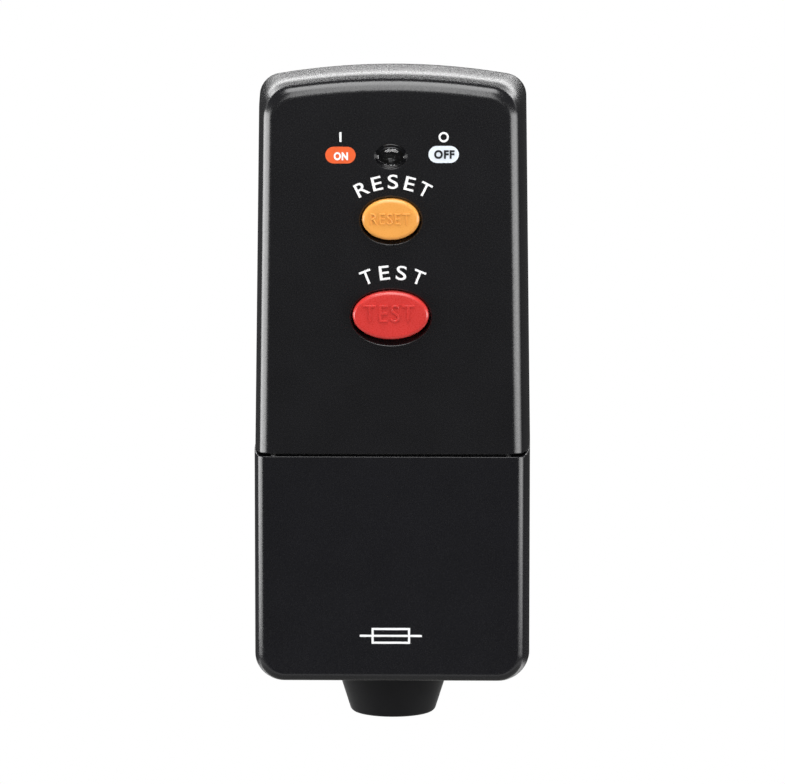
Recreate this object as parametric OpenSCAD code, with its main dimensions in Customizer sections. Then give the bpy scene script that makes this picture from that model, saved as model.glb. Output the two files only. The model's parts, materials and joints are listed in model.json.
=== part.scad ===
// Rewireable RCD plug with three flat pins, a cartridge fuse, a latching contact
// mechanism with an indicator flag, and a terminal compartment under a lower cover.
// Frame: origin on the plug face, at the centre of the three pins. +X is to the right
// seen from the front, +Y points out of the plug face along the pins, +Z is up.

/* [Body] */
// width at the parting line
body_w = 52; // [50:0.5:58]
// width at the top, where the crown begins
top_w = 50.2; // [48:0.1:51]
// depth from the plug face to the front face
body_d = 36; // [35.5:0.25:40]
// depth of the rear case, from the plug face to the parting line
rear_d = 14; // [13.6:0.1:14.6]
// height of the body, from its foot to the crown of its top edge
body_h = 115.2; // [114:0.2:124]
// share of that height above the centre of the three pins
top_share = 0.286; // [0.284:0.001:0.29]
// height of the terminal cover
cover_h = 43.9; // [43:0.1:46]
// radius of the crown of the top edge
crown_r = 130; // [100:5:220]
// radius of the top corners at the parting line
top_corner_r = 4.2; // [2:0.2:6]
// radius of the top corners where the front walls' lean starts from, at the front edge
top_front_r = 7.4; // [5:0.2:8]
// radius of the bottom corners at the parting line
foot_corner_r = 3; // [2.6:0.2:6]
// radius of the bottom corners where the front walls' lean starts from, at the front edge
foot_front_r = 6.2; // [4:0.2:7]
// wall thickness of the front case and the cover
wall = 2; // [1.6:0.1:2.2]
// wall thickness of the rear case
rear_wall = 2.5; // [2.2:0.1:2.8]
// lean of the front case's walls, from the parting line to the front edge
front_draft = 1.3; // [0.5:0.1:2]
// lean of the cover's walls, from the parting line to the front edge
cover_draft = 1.1; // [0.5:0.1:1.6]
// rounding of the front case's front edge
front_round = 2.4; // [1.2:0.1:3]
// rounding of the cover's front edge
cover_round = 1.6; // [0.8:0.1:2.4]
// lean of the rear case's walls
rear_draft = 0.8; // [0.5:0.1:1.4]
// rounding of the plug face's edge
rear_round = 1.6; // [0.8:0.1:2]

/* [Plug pins] */
// distance between the live and neutral pins
pin_spacing = 22.23; // [22.1:0.01:22.4]
// distance from the live and neutral pins up to the earth pin
pin_rise = 22.23; // [22.1:0.01:22.4]
// width of the live and neutral pins
line_pin_w = 6.35; // [6.2:0.01:6.5]
// thickness of every pin
pin_t = 3.97; // [3.9:0.01:4.05]
// length of the live and neutral pins
line_pin_len = 17.7; // [17.2:0.1:18.2]
// width of the earth pin
earth_pin_w = 7.95; // [7.8:0.01:8.05]
// length of the earth pin
earth_pin_len = 22.73; // [22.2:0.01:23.2]
// length of the insulating sleeves outside the plug face
sleeve_len = 9.5; // [9:0.1:10]
// wall of the insulating sleeves
sleeve_t = 0.45; // [0.4:0.05:0.6]

/* [Controls] */
// width of the reset button
reset_w = 10.9; // [9.5:0.1:11.5]
// height of the reset button
reset_h = 8.2; // [7:0.1:8.8]
// travel of the reset button
reset_travel = 3; // [2.6:0.1:3.2]
// width of the test button
test_w = 14.4; // [12:0.1:16]
// height of the test button
test_h = 9.9; // [8:0.1:11]
// travel of the test button
test_travel = 1.5; // [1:0.1:2]
// how far the buttons stand proud of the face
button_proud = 1.8; // [1.4:0.1:2.6]
// retaining lip around each button, inside the case
button_lip = 0.9; // [0.7:0.1:1.1]
// width of the indicator window
window_w = 5.9; // [5:0.1:6.2]
// height of the indicator window
window_h = 4.6; // [4:0.1:4.8]
// height of the reset button above the pin centre
reset_z = 5.5; // [5:0.1:5.8]
// height of the test button below the pin centre
test_drop = 12.5; // [11.8:0.1:13]
// height of the indicator window above the reset button
window_rise = 11.9; // [11.7:0.1:12.4]

/* [Fuse] */
// diameter of the cartridge fuse
fuse_d = 6.35; // [6.2:0.05:6.5]
// length of the cartridge fuse
fuse_len = 25.4; // [25:0.1:25.8]
// length of the fuse's end caps
fuse_cap_len = 6; // [5.2:0.1:6.6]
// width of the fuse carrier
carrier_w = 9.5; // [9.2:0.1:9.8]
// length of the fuse carrier
carrier_len = 31; // [30.6:0.1:31.6]

/* [Mechanism] */
// thickness of the circuit board
board_t = 1.6; // [1.2:0.1:1.6]
// length of the reset button's stem
reset_stem = 3.7; // [3.4:0.1:4]
// length of the test button's stem
test_stem = 5.75; // [5.5:0.05:6]
// radius of the coil's flanges
coil_r = 4.8; // [4:0.1:4.9]
// thickness of the contact carriage
carriage_t = 3; // [2.4:0.1:3.2]
// diameter of the carriage's guide posts
guide_d = 3; // [2.4:0.1:3.2]
// radius of the indicator flag
flag_r = 10; // [9:0.1:10.4]
// diameter of the flag's pivot pin
pivot_d = 1.5; // [1.2:0.1:1.8]
// outer diameter of the sensing ring
ring_od = 16; // [14:0.2:16.4]
// inner diameter of the sensing ring
ring_bore_d = 8; // [7:0.2:9]
// height of the sensing ring
ring_h = 8; // [6:0.2:8.4]

/* [Wiring] */
// radius of the flex guard where it leaves the body
guard_root_r = 10.7; // [10:0.1:11.4]
// radius of the flex guard at its end
guard_end_r = 7.9; // [7:0.1:9]
// length of the flex guard outside the body
guard_len = 8.4; // [7:0.2:14]
// diameter of the hole for the flex
flex_d = 8.4; // [7:0.1:9]
// width of each terminal
terminal_w = 7; // [6:0.1:7.4]
// height of each terminal
terminal_h = 10; // [8:0.1:11]
// distance of the live and neutral terminals from the body's side
terminal_inset = 11; // [10.4:0.1:12]
// diameter of the holes for the flex's cores
core_hole_d = 3.4; // [2.8:0.1:3.6]
// diameter of the inner leads
lead_d = 2.4; // [1.8:0.1:2.5]

/* [Fits] */
// gap between the cover and the front case at the seam
seam_gap = 0.6; // [0.4:0.05:0.8]
// gap at the parting line
parting_gap = 0.1; // [0.05:0.05:0.2]
// gap around each button
button_gap = 0.2; // [0.15:0.05:0.3]
// gap around a pin or a sleeve in the rear wall
pin_gap = 0.04; // [0.02:0.01:0.08]
// running clearance of a shaft in its hole, on the radius
run_gap = 0.05; // [0.03:0.01:0.08]
// gap left between contacts when they close
touch_gap = 0.05; // [0.03:0.01:0.08]
// gap around the fuse carrier
carrier_gap = 0.15; // [0.1:0.05:0.2]

// gap around the front case's end where it stands inside the cover
spigot_gap = 0.3; // [0.2:0.05:0.4]

/* [Hidden] */
$fn = 48;

thin = 0.01;
far = 200;
face_y = -body_d;
front_in_y = face_y + wall;
parting_y = -rear_d;
front_back_y = parting_y - parting_gap;
floor_y = -rear_wall;
top_z = body_h * top_share;
foot_z = top_z - body_h;
seam_z = foot_z + cover_h;
crown_z = top_z - crown_r;

line_x = pin_spacing / 2;
line_z = -pin_rise / 2;
earth_z = pin_rise / 2;
pin_head_y = floor_y - 2.5;
pin_tip = 1.2;

board_back_y = parting_y + 2;
board_y = board_back_y - board_t;
board_z0 = seam_z + 7;
board_z1 = top_z - 6;
board_w = 32;

flange_t = 1.2;
flange_y = front_in_y + 0.1;
stem_r = 2;
test_z = -test_drop;
test_pad_t = 0.4;
test_post_y = flange_y + flange_t + test_stem + test_travel + touch_gap + test_pad_t;

frame_t = 1.5;
frame_y = board_y - frame_t;
armature_t = 1.2;
carriage_y = flange_y + flange_t + reset_stem + touch_gap;
carriage_back_y = carriage_y + carriage_t;
pole_y = carriage_back_y + armature_t + reset_travel + touch_gap;
contact_x = board_w / 2 - 2.2;
guide_x = contact_x - 4.8;
contact_dz = 5;
bridge_t = 0.8;
rivet_h = 1;
rivet_r = 1.5;
fixed_y = carriage_back_y + bridge_t + rivet_h + reset_travel + touch_gap;
carriage_x = contact_x - 1.8;
ear_x = 6.3;

window_z = reset_z + window_rise;
lens_flange_t = 0.7;
pivot_z = window_z + 2;
drive_z = reset_z + 6.7;
lever_a = pivot_z - drive_z;
flag_off = pivot_z - window_z;
pivot_y = front_in_y + lens_flange_t + 0.5 + sqrt(flag_r * flag_r - flag_off * flag_off);
flag_swing = reset_travel / lever_a * 180 / PI;
window_a = asin(flag_off / flag_r);
flag_a0 = -window_a - 12;
flag_a1 = -window_a + flag_swing / 2;
flag_a2 = -window_a + flag_swing + 12;
flag_w = 7;
drive_gap = 0.16;

film_cap_x = ear_x + 2.2;
film_cap_w = 4.8;
film_cap_h = 10.2;
film_cap_d = 9.4;
disc_r = 4.5;
disc_t = 3.5;
disc_x = ear_x + 2.9;
can_r = 2.2;
can_h = 9;
can_x = 9.2;
chip_x = 5.2;
chip_w = 4.7;
chip_h = 9.4;

spigot_len = 2;
post_r = 3.3;
sink_r = 3;
sink_wall_r = 4.2;
sink_h = 3.5;
screw_r = 1.45;
screw_head_r = 2.7;
screw_head_h = 2;
screw_grip = 9;
clamp_head_r = 2.6;
clamp_screw_r = 1.5;
case_screw_x = body_w / 2 - 8;
case_screw_zs = [top_z - 8, seam_z + 7];
cover_screw_x = body_w / 2 - 7.5;
cover_screw_z = foot_z + 8.5;
board_post_zs = [board_z1 - 2.2, board_z0 + 2.5];
board_post_xs = [board_w / 2 - 10, board_w / 2 - 7.5];
board_neck_w = 2 * (case_screw_x - post_r) - 2.6;

fuse_y = floor_y - 3.5;
fuse_r = fuse_d / 2;
carrier_z1 = line_z + 8.5;
carrier_z0 = carrier_z1 - carrier_len;
fuse_z = (carrier_z0 + carrier_z1) / 2;
carrier_sink = 0.2;
carrier_t = 2;
clip_t = 0.5;
clip_gap = 0.1;
clip_len = 4.6;
cradle_len = fuse_len - 2 * fuse_cap_len - 2.4;
fuse_neck_r = fuse_r - 0.35;

terminal_x = body_w / 2 - terminal_inset;
terminal_z1 = seam_z - 5;
terminal_z0 = terminal_z1 - terminal_h;
clamp_z = terminal_z0 + 3.6;
terminal_y0 = parting_y - 5;
terminal_y1 = parting_y + 6;
core_y = parting_y + 2;
lead_y = parting_y - 3;
lead_r = lead_d / 2;
guard_y = parting_y;
groove_r = guard_root_r - 1.8;
guard_flange_z = foot_z + 3;
grip_z = foot_z + 10.7;
grip_half = 3;
grip_x = 9.5;
grip_bar_t = 3.5;
grip_bar_x = grip_x + 3.5;
grip_screw_len = 14;
grip_seat_y = guard_y + flex_d / 2;
grip_bar_y = guard_y - flex_d / 2 - 0.2;
ring_y = board_y - ring_od / 2 - 0.2;
ring_z0 = board_z0 + 1.5;

function arc(cx, cz, r, a0, a1, n) =
    [for (i = [0 : n]) let (a = a0 + (a1 - a0) * i / n) [cx + r * cos(a), cz + r * sin(a)]];
function oval(w, h, n = 40) =
    [for (i = [0 : n - 1]) [w / 2 * cos(360 * i / n), h / 2 * sin(360 * i / n)]];
function outline(top_r, foot_r) = let (
    cx = top_w / 2 - top_r,
    cz = crown_z + sqrt(pow(crown_r - top_r, 2) - cx * cx),
    ca = atan2(cz - crown_z, cx))
    concat(
        arc(body_w / 2 - foot_r, foot_z + foot_r, foot_r, -90, 0, 7),
        [[body_w / 2, seam_z]],
        arc(cx, cz, top_r, 0, ca, 7),
        arc(0, crown_z, crown_r, ca + 2, 178 - ca, 8),
        arc(-cx, cz, top_r, 180 - ca, 180, 7),
        [[-body_w / 2, seam_z]],
        arc(foot_r - body_w / 2, foot_z + foot_r, foot_r, 180, 270, 7));

function unit(v) = v / norm(v);
function bent(p, i, t) = let (
    a = p[max(i - 1, 0)], b = p[i], c = p[i + 1], d = p[min(i + 2, len(p) - 1)])
    0.5 * (2 * b + (c - a) * t + (2 * a - 5 * b + 4 * c - d) * t * t
    + (3 * b - a - 3 * c + d) * t * t * t);
function smooth(p, n) = concat(
    [for (i = [0 : len(p) - 2]) for (k = [0 : n - 1]) bent(p, i, k / n)], [p[len(p) - 1]]);

// a tube of radius r along the points p, with its rings set out from the direction up
module tube(p, r, up, sides = 8) {
    n = len(p);
    rings = [for (i = [0 : n - 1]) let (
        t = unit(p[min(i + 1, n - 1)] - p[max(i - 1, 0)]),
        u = unit(cross(t, up)),
        v = cross(t, u))
        for (k = [0 : sides - 1]) p[i] + r * (cos(360 * k / sides) * u + sin(360 * k / sides) * v)];
    sheet = [for (i = [0 : n - 2]) for (k = [0 : sides - 1]) let (j = (k + 1) % sides, b = i * sides)
        each [[b + k, b + j, b + sides + j], [b + k, b + sides + j, b + sides + k]]];
    first = [[for (k = [0 : sides - 1]) sides - 1 - k]];
    last = [[for (k = [0 : sides - 1]) (n - 1) * sides + k]];
    polyhedron(points = rings, faces = concat(first, sheet, last), convexity = 8);
}

// a coil spring on an axis along Y, between y0 and y1
module coil(x, z, r, wire_r, turns, y0, y1) {
    n = turns * 10;
    h = y1 - y0 - 2 * wire_r;
    p = [for (i = [0 : n]) let (a = 36 * i)
        [x + r * cos(a), y0 + wire_r + h * i / n, z + r * sin(a)]];
    tube(p, wire_r, [0, 1, 0], 6);
}

module box(x0, x1, y0, y1, z0, z1) {
    translate([x0, y0, z0]) cube([x1 - x0, y1 - y0, z1 - z0]);
}

module rod_x(y, z, r, x0, x1) {
    translate([x0, y, z]) rotate([0, 90, 0]) cylinder(r = r, h = x1 - x0);
}

module rod_y(x, z, r, y0, y1) {
    translate([x, y0, z]) rotate([-90, 0, 0]) cylinder(r = r, h = y1 - y0);
}

module rod_z(x, y, r, z0, z1) {
    translate([x, y, z0]) cylinder(r = r, h = z1 - z0);
}

module oval_y(z, w, h, y0, y1) {
    translate([0, y0, z]) rotate([-90, 0, 0]) linear_extrude(y1 - y0) polygon(oval(w, h));
}

// a flat slice of the body's outline, drawn in by a given amount
module slice(y, inset, top_r, foot_r) {
    translate([0, y + thin / 2, 0]) rotate([90, 0, 0]) linear_extrude(thin)
        offset(delta = -inset) polygon(outline(top_r, foot_r));
}

// the body's solid in front of the parting line, drawn in by t all round
module front_loft(round_r, draft, t, y0) {
    steps = t > 0 ? 2 : 5;
    hull() {
        slice(y0 - thin / 2, t, top_corner_r, foot_corner_r);
        for (i = [0 : steps])
            slice(face_y + t + thin / 2 + round_r * (1 - sin(90 * i / steps)),
                draft + t + round_r * (1 - cos(90 * i / steps)), top_front_r, foot_front_r);
    }
}

// the body's solid behind the parting line, drawn in by t all round
module rear_loft(t, y0) {
    steps = t > 0 ? 2 : 4;
    hull() {
        slice(y0 + thin / 2, t, top_corner_r, foot_corner_r);
        for (i = [0 : steps])
            slice((t > 0 ? floor_y : 0) - thin / 2 - rear_round * (1 - sin(90 * i / steps)),
                rear_draft + t + rear_round * (1 - cos(90 * i / steps)), top_corner_r, foot_corner_r);
    }
}

// a screw with a cross recess, head face at y, shank running towards +Y (1) or -Y (-1)
module screw(x, y, z, way, head_r, head_h, shank_r, length) {
    translate([x, y, z]) rotate([-90 * way, 0, 0])
        difference() {
            union() {
                cylinder(r = head_r, h = head_h);
                cylinder(r = shank_r, h = length);
            }
            translate([-head_r * 0.62, -0.4, -1]) cube([head_r * 1.24, 0.8, 1 + head_h * 0.55]);
            translate([-0.4, -head_r * 0.62, -1]) cube([0.8, head_r * 1.24, 1 + head_h * 0.55]);
        }
}

// a flat plug pin with a chamfered tip, width w along X, thickness h along Z, y0 to y1
module blade(x, z, w, h, y0, y1) {
    c = pin_tip;
    translate([x, 0, z])
        intersection() {
            translate([0, 0, -h]) linear_extrude(2 * h)
                polygon([[-w / 2, y0], [w / 2, y0], [w / 2, y1 - c], [w / 2 - c, y1], [c - w / 2, y1],
                    [-w / 2, y1 - c]]);
            translate([-w, 0, 0]) rotate([90, 0, 90]) linear_extrude(2 * w)
                polygon([[y0, -h / 2], [y1 - c, -h / 2], [y1, c - h / 2], [y1, h / 2 - c], [y1 - c, h / 2],
                    [y0, h / 2]]);
        }
}

module front_case() {
    end_z = seam_z + seam_gap / 2;
    color([0.12, 0.12, 0.13])
        difference() {
            union() {
                difference() {
                    intersection() {
                        front_loft(front_round, front_draft, 0, front_back_y);
                        box(-far, far, -far, far, end_z, far);
                    }
                    intersection() {
                        front_loft(front_round, front_draft, wall, parting_y + 1);
                        box(-far, far, -far, far, end_z + 1.8, far);
                    }
                }
                intersection() {
                    front_loft(cover_round, cover_draft, wall + spigot_gap, front_back_y);
                    box(-far, far, -far, far, end_z - spigot_len, end_z + 1);
                }
                for (x = [-case_screw_x, case_screw_x])
                    for (z = case_screw_zs)
                        rod_y(x, z, post_r, front_in_y - 0.5, front_back_y);
            }
            for (x = [-case_screw_x, case_screw_x])
                for (z = case_screw_zs)
                    rod_y(x, z, screw_r + run_gap, parting_y - screw_grip - 0.5, parting_y + 1);
            oval_y(reset_z, reset_w + 2 * button_gap, reset_h + 2 * button_gap, face_y - 1, front_in_y + 1);
            oval_y(test_z, test_w + 2 * button_gap, test_h + 2 * button_gap, face_y - 1, front_in_y + 1);
            oval_y(window_z, window_w, window_h, face_y - 1, front_in_y + 1);
            for (s = [-1, 1])
                box(s * (terminal_x - 0.7) - lead_r - 1.1, s * (terminal_x - 0.7) + lead_r + 1.1,
                    lead_y - lead_r - 0.8, parting_y + 1, end_z - spigot_len - 1, end_z + 3);
        }
}

module terminal_cover() {
    end_z = seam_z - seam_gap / 2;
    color([0.1, 0.1, 0.11])
        difference() {
            union() {
                difference() {
                    intersection() {
                        front_loft(cover_round, cover_draft, 0, front_back_y);
                        box(-far, far, -far, far, -far, end_z);
                    }
                    intersection() {
                        front_loft(cover_round, cover_draft, wall, parting_y + 1);
                        box(-far, far, -far, far, -far, end_z + 1);
                    }
                }
                for (x = [-cover_screw_x, cover_screw_x])
                    rod_y(x, cover_screw_z, post_r, front_in_y - 0.5, front_back_y);
            }
            for (x = [-cover_screw_x, cover_screw_x])
                rod_y(x, cover_screw_z, screw_r + run_gap, parting_y - screw_grip - 0.5, parting_y + 1);
            rod_z(0, guard_y, groove_r + 0.1, foot_z - 1, foot_z + 6);
        }
}

module rear_case() {
    color([0.13, 0.13, 0.14])
        difference() {
            union() {
                difference() {
                    rear_loft(0, parting_y);
                    rear_loft(wall, parting_y - 1);
                }
                for (x = [-case_screw_x, case_screw_x])
                    for (z = case_screw_zs) {
                        rod_y(x, z, post_r, parting_y, floor_y + 0.5);
                        rod_y(x, z, sink_wall_r, floor_y - 3.2, floor_y + 0.5);
                    }
                for (x = [-cover_screw_x, cover_screw_x]) {
                    rod_y(x, cover_screw_z, post_r, parting_y, floor_y + 0.5);
                    rod_y(x, cover_screw_z, sink_wall_r, floor_y - 3.2, floor_y + 0.5);
                }
                for (i = [0, 1])
                    for (s = [-1, 1])
                        rod_y(s * board_post_xs[i], board_post_zs[i], 2.2, board_back_y, floor_y + 0.5);
                box(-body_w / 2 + 2, body_w / 2 - 2, floor_y - 6.5, floor_y + 0.5, seam_z - 0.9, seam_z + 0.9);
                for (x = [-terminal_x, 0, terminal_x])
                    box(x - terminal_w / 2, x + terminal_w / 2, terminal_y1, floor_y + 0.5,
                        terminal_z0, terminal_z1);
                for (s = [-1, 1]) {
                    box(s * (carrier_w / 2 + carrier_gap + 0.6) - 0.6, s * (carrier_w / 2 + carrier_gap + 0.6) + 0.6,
                        fuse_y - 2, floor_y + 0.5, fuse_z - cradle_len / 2, fuse_z + cradle_len / 2);
                    rod_y(s * grip_x, grip_z, 3, grip_bar_y, floor_y + 0.5);
                }
                box(-5.5, 5.5, grip_seat_y, floor_y + 0.5, grip_z - grip_half, grip_z + grip_half);
                for (z = [carrier_z0 - carrier_gap, carrier_z1 + carrier_gap - 1.6])
                    box(-4, 4, floor_y - 1.5, floor_y + 0.5, z, z + 1.6);
            }
            box(-carrier_w / 2 - carrier_gap, carrier_w / 2 + carrier_gap,
                -carrier_sink - carrier_t - touch_gap, 1, carrier_z0 - carrier_gap, carrier_z1 + carrier_gap);
            box(-carrier_w / 2 - carrier_gap, carrier_w / 2 + carrier_gap, floor_y - 2, 1,
                carrier_z0 - carrier_gap + 1.6, carrier_z1 + carrier_gap - 1.6);
            for (s = [-1, 1])
                box(s * line_x - line_pin_w / 2 - pin_gap, s * line_x + line_pin_w / 2 + pin_gap,
                    floor_y - 1, 1, line_z - pin_t / 2 - pin_gap, line_z + pin_t / 2 + pin_gap);
            box(-pin_t / 2 - pin_gap, pin_t / 2 + pin_gap, floor_y - 1, 1,
                earth_z - earth_pin_w / 2 - pin_gap, earth_z + earth_pin_w / 2 + pin_gap);
            for (x = [-case_screw_x, case_screw_x])
                for (z = case_screw_zs) {
                    rod_y(x, z, 1.7, parting_y - 1, 1);
                    rod_y(x, z, sink_r, -sink_h, 1);
                }
            for (x = [-cover_screw_x, cover_screw_x]) {
                rod_y(x, cover_screw_z, 1.7, parting_y - 1, 1);
                rod_y(x, cover_screw_z, sink_r, -sink_h, 1);
            }
            for (i = [0, 1])
                for (s = [-1, 1])
                    rod_y(s * board_post_xs[i], board_post_zs[i], 1 + run_gap, board_back_y - 1, board_back_y + 6);
            for (s = [-1, 1])
                rod_y(s * grip_x, grip_z, screw_r + run_gap, grip_bar_y - 1,
                    grip_bar_y - grip_bar_t - screw_head_h + grip_screw_len + 1);
            rod_z(0, guard_y, groove_r + 0.1, foot_z - 1, foot_z + 2.9);
        }
}

module flex_guard() {
    end_z = foot_z - guard_len;
    color([0.16, 0.16, 0.17])
        translate([0, guard_y, 0]) rotate_extrude()
            polygon([[flex_d / 2, end_z + 0.6], [flex_d / 2 + 0.6, end_z], [guard_end_r - 0.6, end_z],
                [guard_end_r - 0.1, end_z + 0.3], [guard_end_r + 0.2, end_z + 0.9],
                [guard_root_r, foot_z - 0.05], [groove_r, foot_z - 0.05], [groove_r, guard_flange_z],
                [guard_root_r, guard_flange_z], [guard_root_r, guard_flange_z + 1.8],
                [flex_d / 2, guard_flange_z + 1.8]]);
}

module indicator_lens() {
    color([0.8, 0.85, 0.9, 0.4]) {
        oval_y(window_z, window_w - 2 * run_gap, window_h - 2 * run_gap, face_y, front_in_y + 0.05);
        oval_y(window_z, window_w + 1.6, window_h + 1.6, front_in_y + 0.05, front_in_y + 0.05 + lens_flange_t);
        oval_y(window_z, window_w - 1.3, window_h - 1.3, face_y - 0.45, face_y);
    }
}

module case_screws() {
    color([0.6, 0.6, 0.62])
        for (x = [-case_screw_x, case_screw_x])
            for (z = case_screw_zs)
                screw(x, screw_head_h - sink_h, z, -1, screw_head_r, screw_head_h, screw_r,
                    screw_head_h + rear_d - sink_h + screw_grip);
}

module cover_screws() {
    color([0.6, 0.6, 0.62])
        for (x = [-cover_screw_x, cover_screw_x])
            screw(x, screw_head_h - sink_h, cover_screw_z, -1, screw_head_r, screw_head_h, screw_r,
                screw_head_h + rear_d - sink_h + screw_grip);
}

module live_pin() {
    color([0.8, 0.68, 0.35]) {
        blade(line_x, line_z, line_pin_w, pin_t, sleeve_len, line_pin_len);
        neck_and_head(line_x);
    }
}

module neutral_pin() {
    color([0.8, 0.68, 0.35]) {
        blade(-line_x, line_z, line_pin_w, pin_t, sleeve_len, line_pin_len);
        neck_and_head(-line_x);
        box(-line_x - 1.5, -line_x + 1.5, board_back_y, pin_head_y, line_z - 0.6, line_z + 0.6);
    }
}

// the narrow part of a pin inside its sleeve, and the head behind the rear wall
module neck_and_head(x) {
    w = line_pin_w / 2 - sleeve_t - run_gap;
    t = pin_t / 2 - sleeve_t - run_gap;
    box(x - w, x + w, floor_y, sleeve_len, line_z - t, line_z + t);
    box(x - 4.2, x + 4.2, pin_head_y, floor_y, line_z - 3, line_z + 3);
}

module earth_pin() {
    color([0.8, 0.68, 0.35]) {
        blade(0, earth_z, pin_t, earth_pin_w, floor_y, earth_pin_len);
        box(-3.6, 3.6, pin_head_y, floor_y, earth_z - 5, earth_z + 5);
    }
}

module pin_sleeves() {
    color([0.08, 0.08, 0.09])
        for (s = [-1, 1])
            difference() {
                box(s * line_x - line_pin_w / 2, s * line_x + line_pin_w / 2, floor_y, sleeve_len,
                    line_z - pin_t / 2, line_z + pin_t / 2);
                box(s * line_x - line_pin_w / 2 + sleeve_t, s * line_x + line_pin_w / 2 - sleeve_t,
                    floor_y - 1, sleeve_len + 1, line_z - pin_t / 2 + sleeve_t, line_z + pin_t / 2 - sleeve_t);
            }
}

module fuse_carrier() {
    color([0.55, 0.1, 0.08])
        difference() {
            union() {
                box(-carrier_w / 2, carrier_w / 2, -carrier_sink - carrier_t, -carrier_sink,
                    carrier_z0, carrier_z1);
                box(-carrier_w / 2 + 0.2, carrier_w / 2 - 0.2, fuse_y - 1, -carrier_sink - 1,
                    fuse_z - cradle_len / 2 + 0.3, fuse_z + cradle_len / 2 - 0.3);
            }
            rod_z(0, fuse_y, fuse_neck_r + run_gap, fuse_z - fuse_len, fuse_z + fuse_len);
            box(-2.5, 2.5, fuse_y - 2, fuse_y - 0.5, fuse_z - fuse_len, fuse_z + fuse_len);
            box(-2, 2, -carrier_sink - 0.8, 0, carrier_z1 - 1.4, carrier_z1 + 1);
        }
}

module fuse_body() {
    color([0.9, 0.88, 0.82])
        rod_z(0, fuse_y, fuse_neck_r, fuse_z - fuse_len / 2 + 0.6, fuse_z + fuse_len / 2 - 0.6);
}

module fuse_caps() {
    color([0.75, 0.75, 0.74])
        for (s = [-1, 1])
            translate([0, fuse_y, fuse_z + s * (fuse_len / 2 - fuse_cap_len / 2)])
                difference() {
                    cylinder(r = fuse_r, h = fuse_cap_len, center = true);
                    translate([0, 0, -s * 0.6])
                        cylinder(r = fuse_neck_r + run_gap, h = fuse_cap_len, center = true);
                }
}

// a spring clip that grips one fuse cap and is open towards the plug face
module clip(z) {
    r = fuse_r + clip_gap;
    translate([0, fuse_y, z - clip_len / 2])
        difference() {
            union() {
                cylinder(r = r + clip_t, h = clip_len);
                translate([-r - clip_t, 0, 0]) cube([2 * r + 2 * clip_t, 2.4, clip_len]);
            }
            translate([0, 0, -1]) cylinder(r = r, h = clip_len + 2);
            translate([-r, 0, -1]) cube([2 * r, 5, clip_len + 2]);
        }
}

module live_fuse_clip() {
    z = fuse_z + fuse_len / 2 - fuse_cap_len / 2;
    r = fuse_r + clip_gap;
    color([0.78, 0.66, 0.4]) {
        clip(z);
        box(r + clip_t / 2, line_x - 4.2, fuse_y + 1, fuse_y + 1.8, z - clip_len / 2, z + clip_len / 2 - 1);
    }
}

module load_fuse_clip() {
    z = fuse_z - fuse_len / 2 + fuse_cap_len / 2;
    r = fuse_r + clip_gap;
    color([0.78, 0.66, 0.4]) {
        clip(z);
        box(-1.5, 1.5, board_back_y, fuse_y - r - clip_t / 2, z - 1, z + 1);
    }
}

module circuit_board() {
    color([0.1, 0.35, 0.18])
        difference() {
            union() {
                box(-board_w / 2, board_w / 2, board_y, board_back_y, board_z0 + 5, board_z1 - 7);
                box(-board_neck_w / 2, board_neck_w / 2, board_y, board_back_y, board_z0, board_z1);
            }
            for (i = [0, 1])
                for (s = [-1, 1])
                    rod_y(s * board_post_xs[i], board_post_zs[i], 1.25, board_y - 1, board_back_y + 1);
        }
}

module board_screws() {
    color([0.7, 0.7, 0.72])
        for (i = [0, 1])
            for (s = [-1, 1])
                screw(s * board_post_xs[i], board_y - 1.3, board_post_zs[i], 1, 2, 1.3, 1, 1.3 + board_t + 5);
}

module mechanism_frame() {
    color([0.85, 0.84, 0.8])
        difference() {
            union() {
                box(-guide_x - 2.9, guide_x + 2.9, frame_y, board_y, reset_z - 7, reset_z + 7.2);
                box(-ear_x - 1.1, ear_x + 1.1, frame_y, board_y, reset_z, pivot_z + 2.6);
                for (s = [-1, 1]) {
                    rod_y(s * guide_x, reset_z, guide_d / 2, carriage_y - 1.5, frame_y + 0.5);
                    box(s * ear_x - 1, s * ear_x + 1, pivot_y - 2, frame_y + 0.5, pivot_z - 2.6, pivot_z + 2.6);
                }
            }
            rod_x(pivot_y, pivot_z, pivot_d / 2 + run_gap, -far, far);
        }
}

module contact_carriage() {
    slot_y = pivot_y;
    slot_r = pivot_d / 2 + drive_gap;
    color([0.3, 0.31, 0.34])
        difference() {
            union() {
                box(-carriage_x, carriage_x, carriage_y, carriage_back_y, reset_z - 4, reset_z + 4);
                for (s = [-1, 1])
                    box(s * contact_x - 1.9, s * contact_x + 1.9, carriage_y, carriage_back_y,
                        reset_z - 7, reset_z + 7);
                box(-2.5, 2.5, carriage_y, carriage_back_y, reset_z, drive_z + 0.4);
                box(-2.5, 2.5, carriage_y, slot_y + slot_r + 1.4, drive_z - 1.5, drive_z + 0.4);
            }
            for (s = [-1, 1])
                rod_y(s * guide_x, reset_z, guide_d / 2 + run_gap, carriage_y - 1, carriage_back_y + 1);
            box(-3, 3, slot_y - slot_r, slot_y + slot_r, drive_z - pivot_d / 2 - 0.3, drive_z + 2);
        }
}

module armature_plate() {
    color([0.55, 0.55, 0.57])
        box(-4, 4, carriage_back_y, carriage_back_y + armature_t, reset_z - 3.6, reset_z + 3.6);
}

module moving_contacts() {
    color([0.75, 0.5, 0.32])
        for (s = [-1, 1]) {
            box(s * contact_x - 1.5, s * contact_x + 1.5, carriage_back_y, carriage_back_y + bridge_t,
                reset_z - contact_dz - 1.8, reset_z + contact_dz + 1.8);
            for (t = [-1, 1])
                rod_y(s * contact_x, reset_z + t * contact_dz, rivet_r - 0.1,
                    carriage_back_y + bridge_t - 0.1, carriage_back_y + bridge_t + rivet_h);
        }
}

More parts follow.
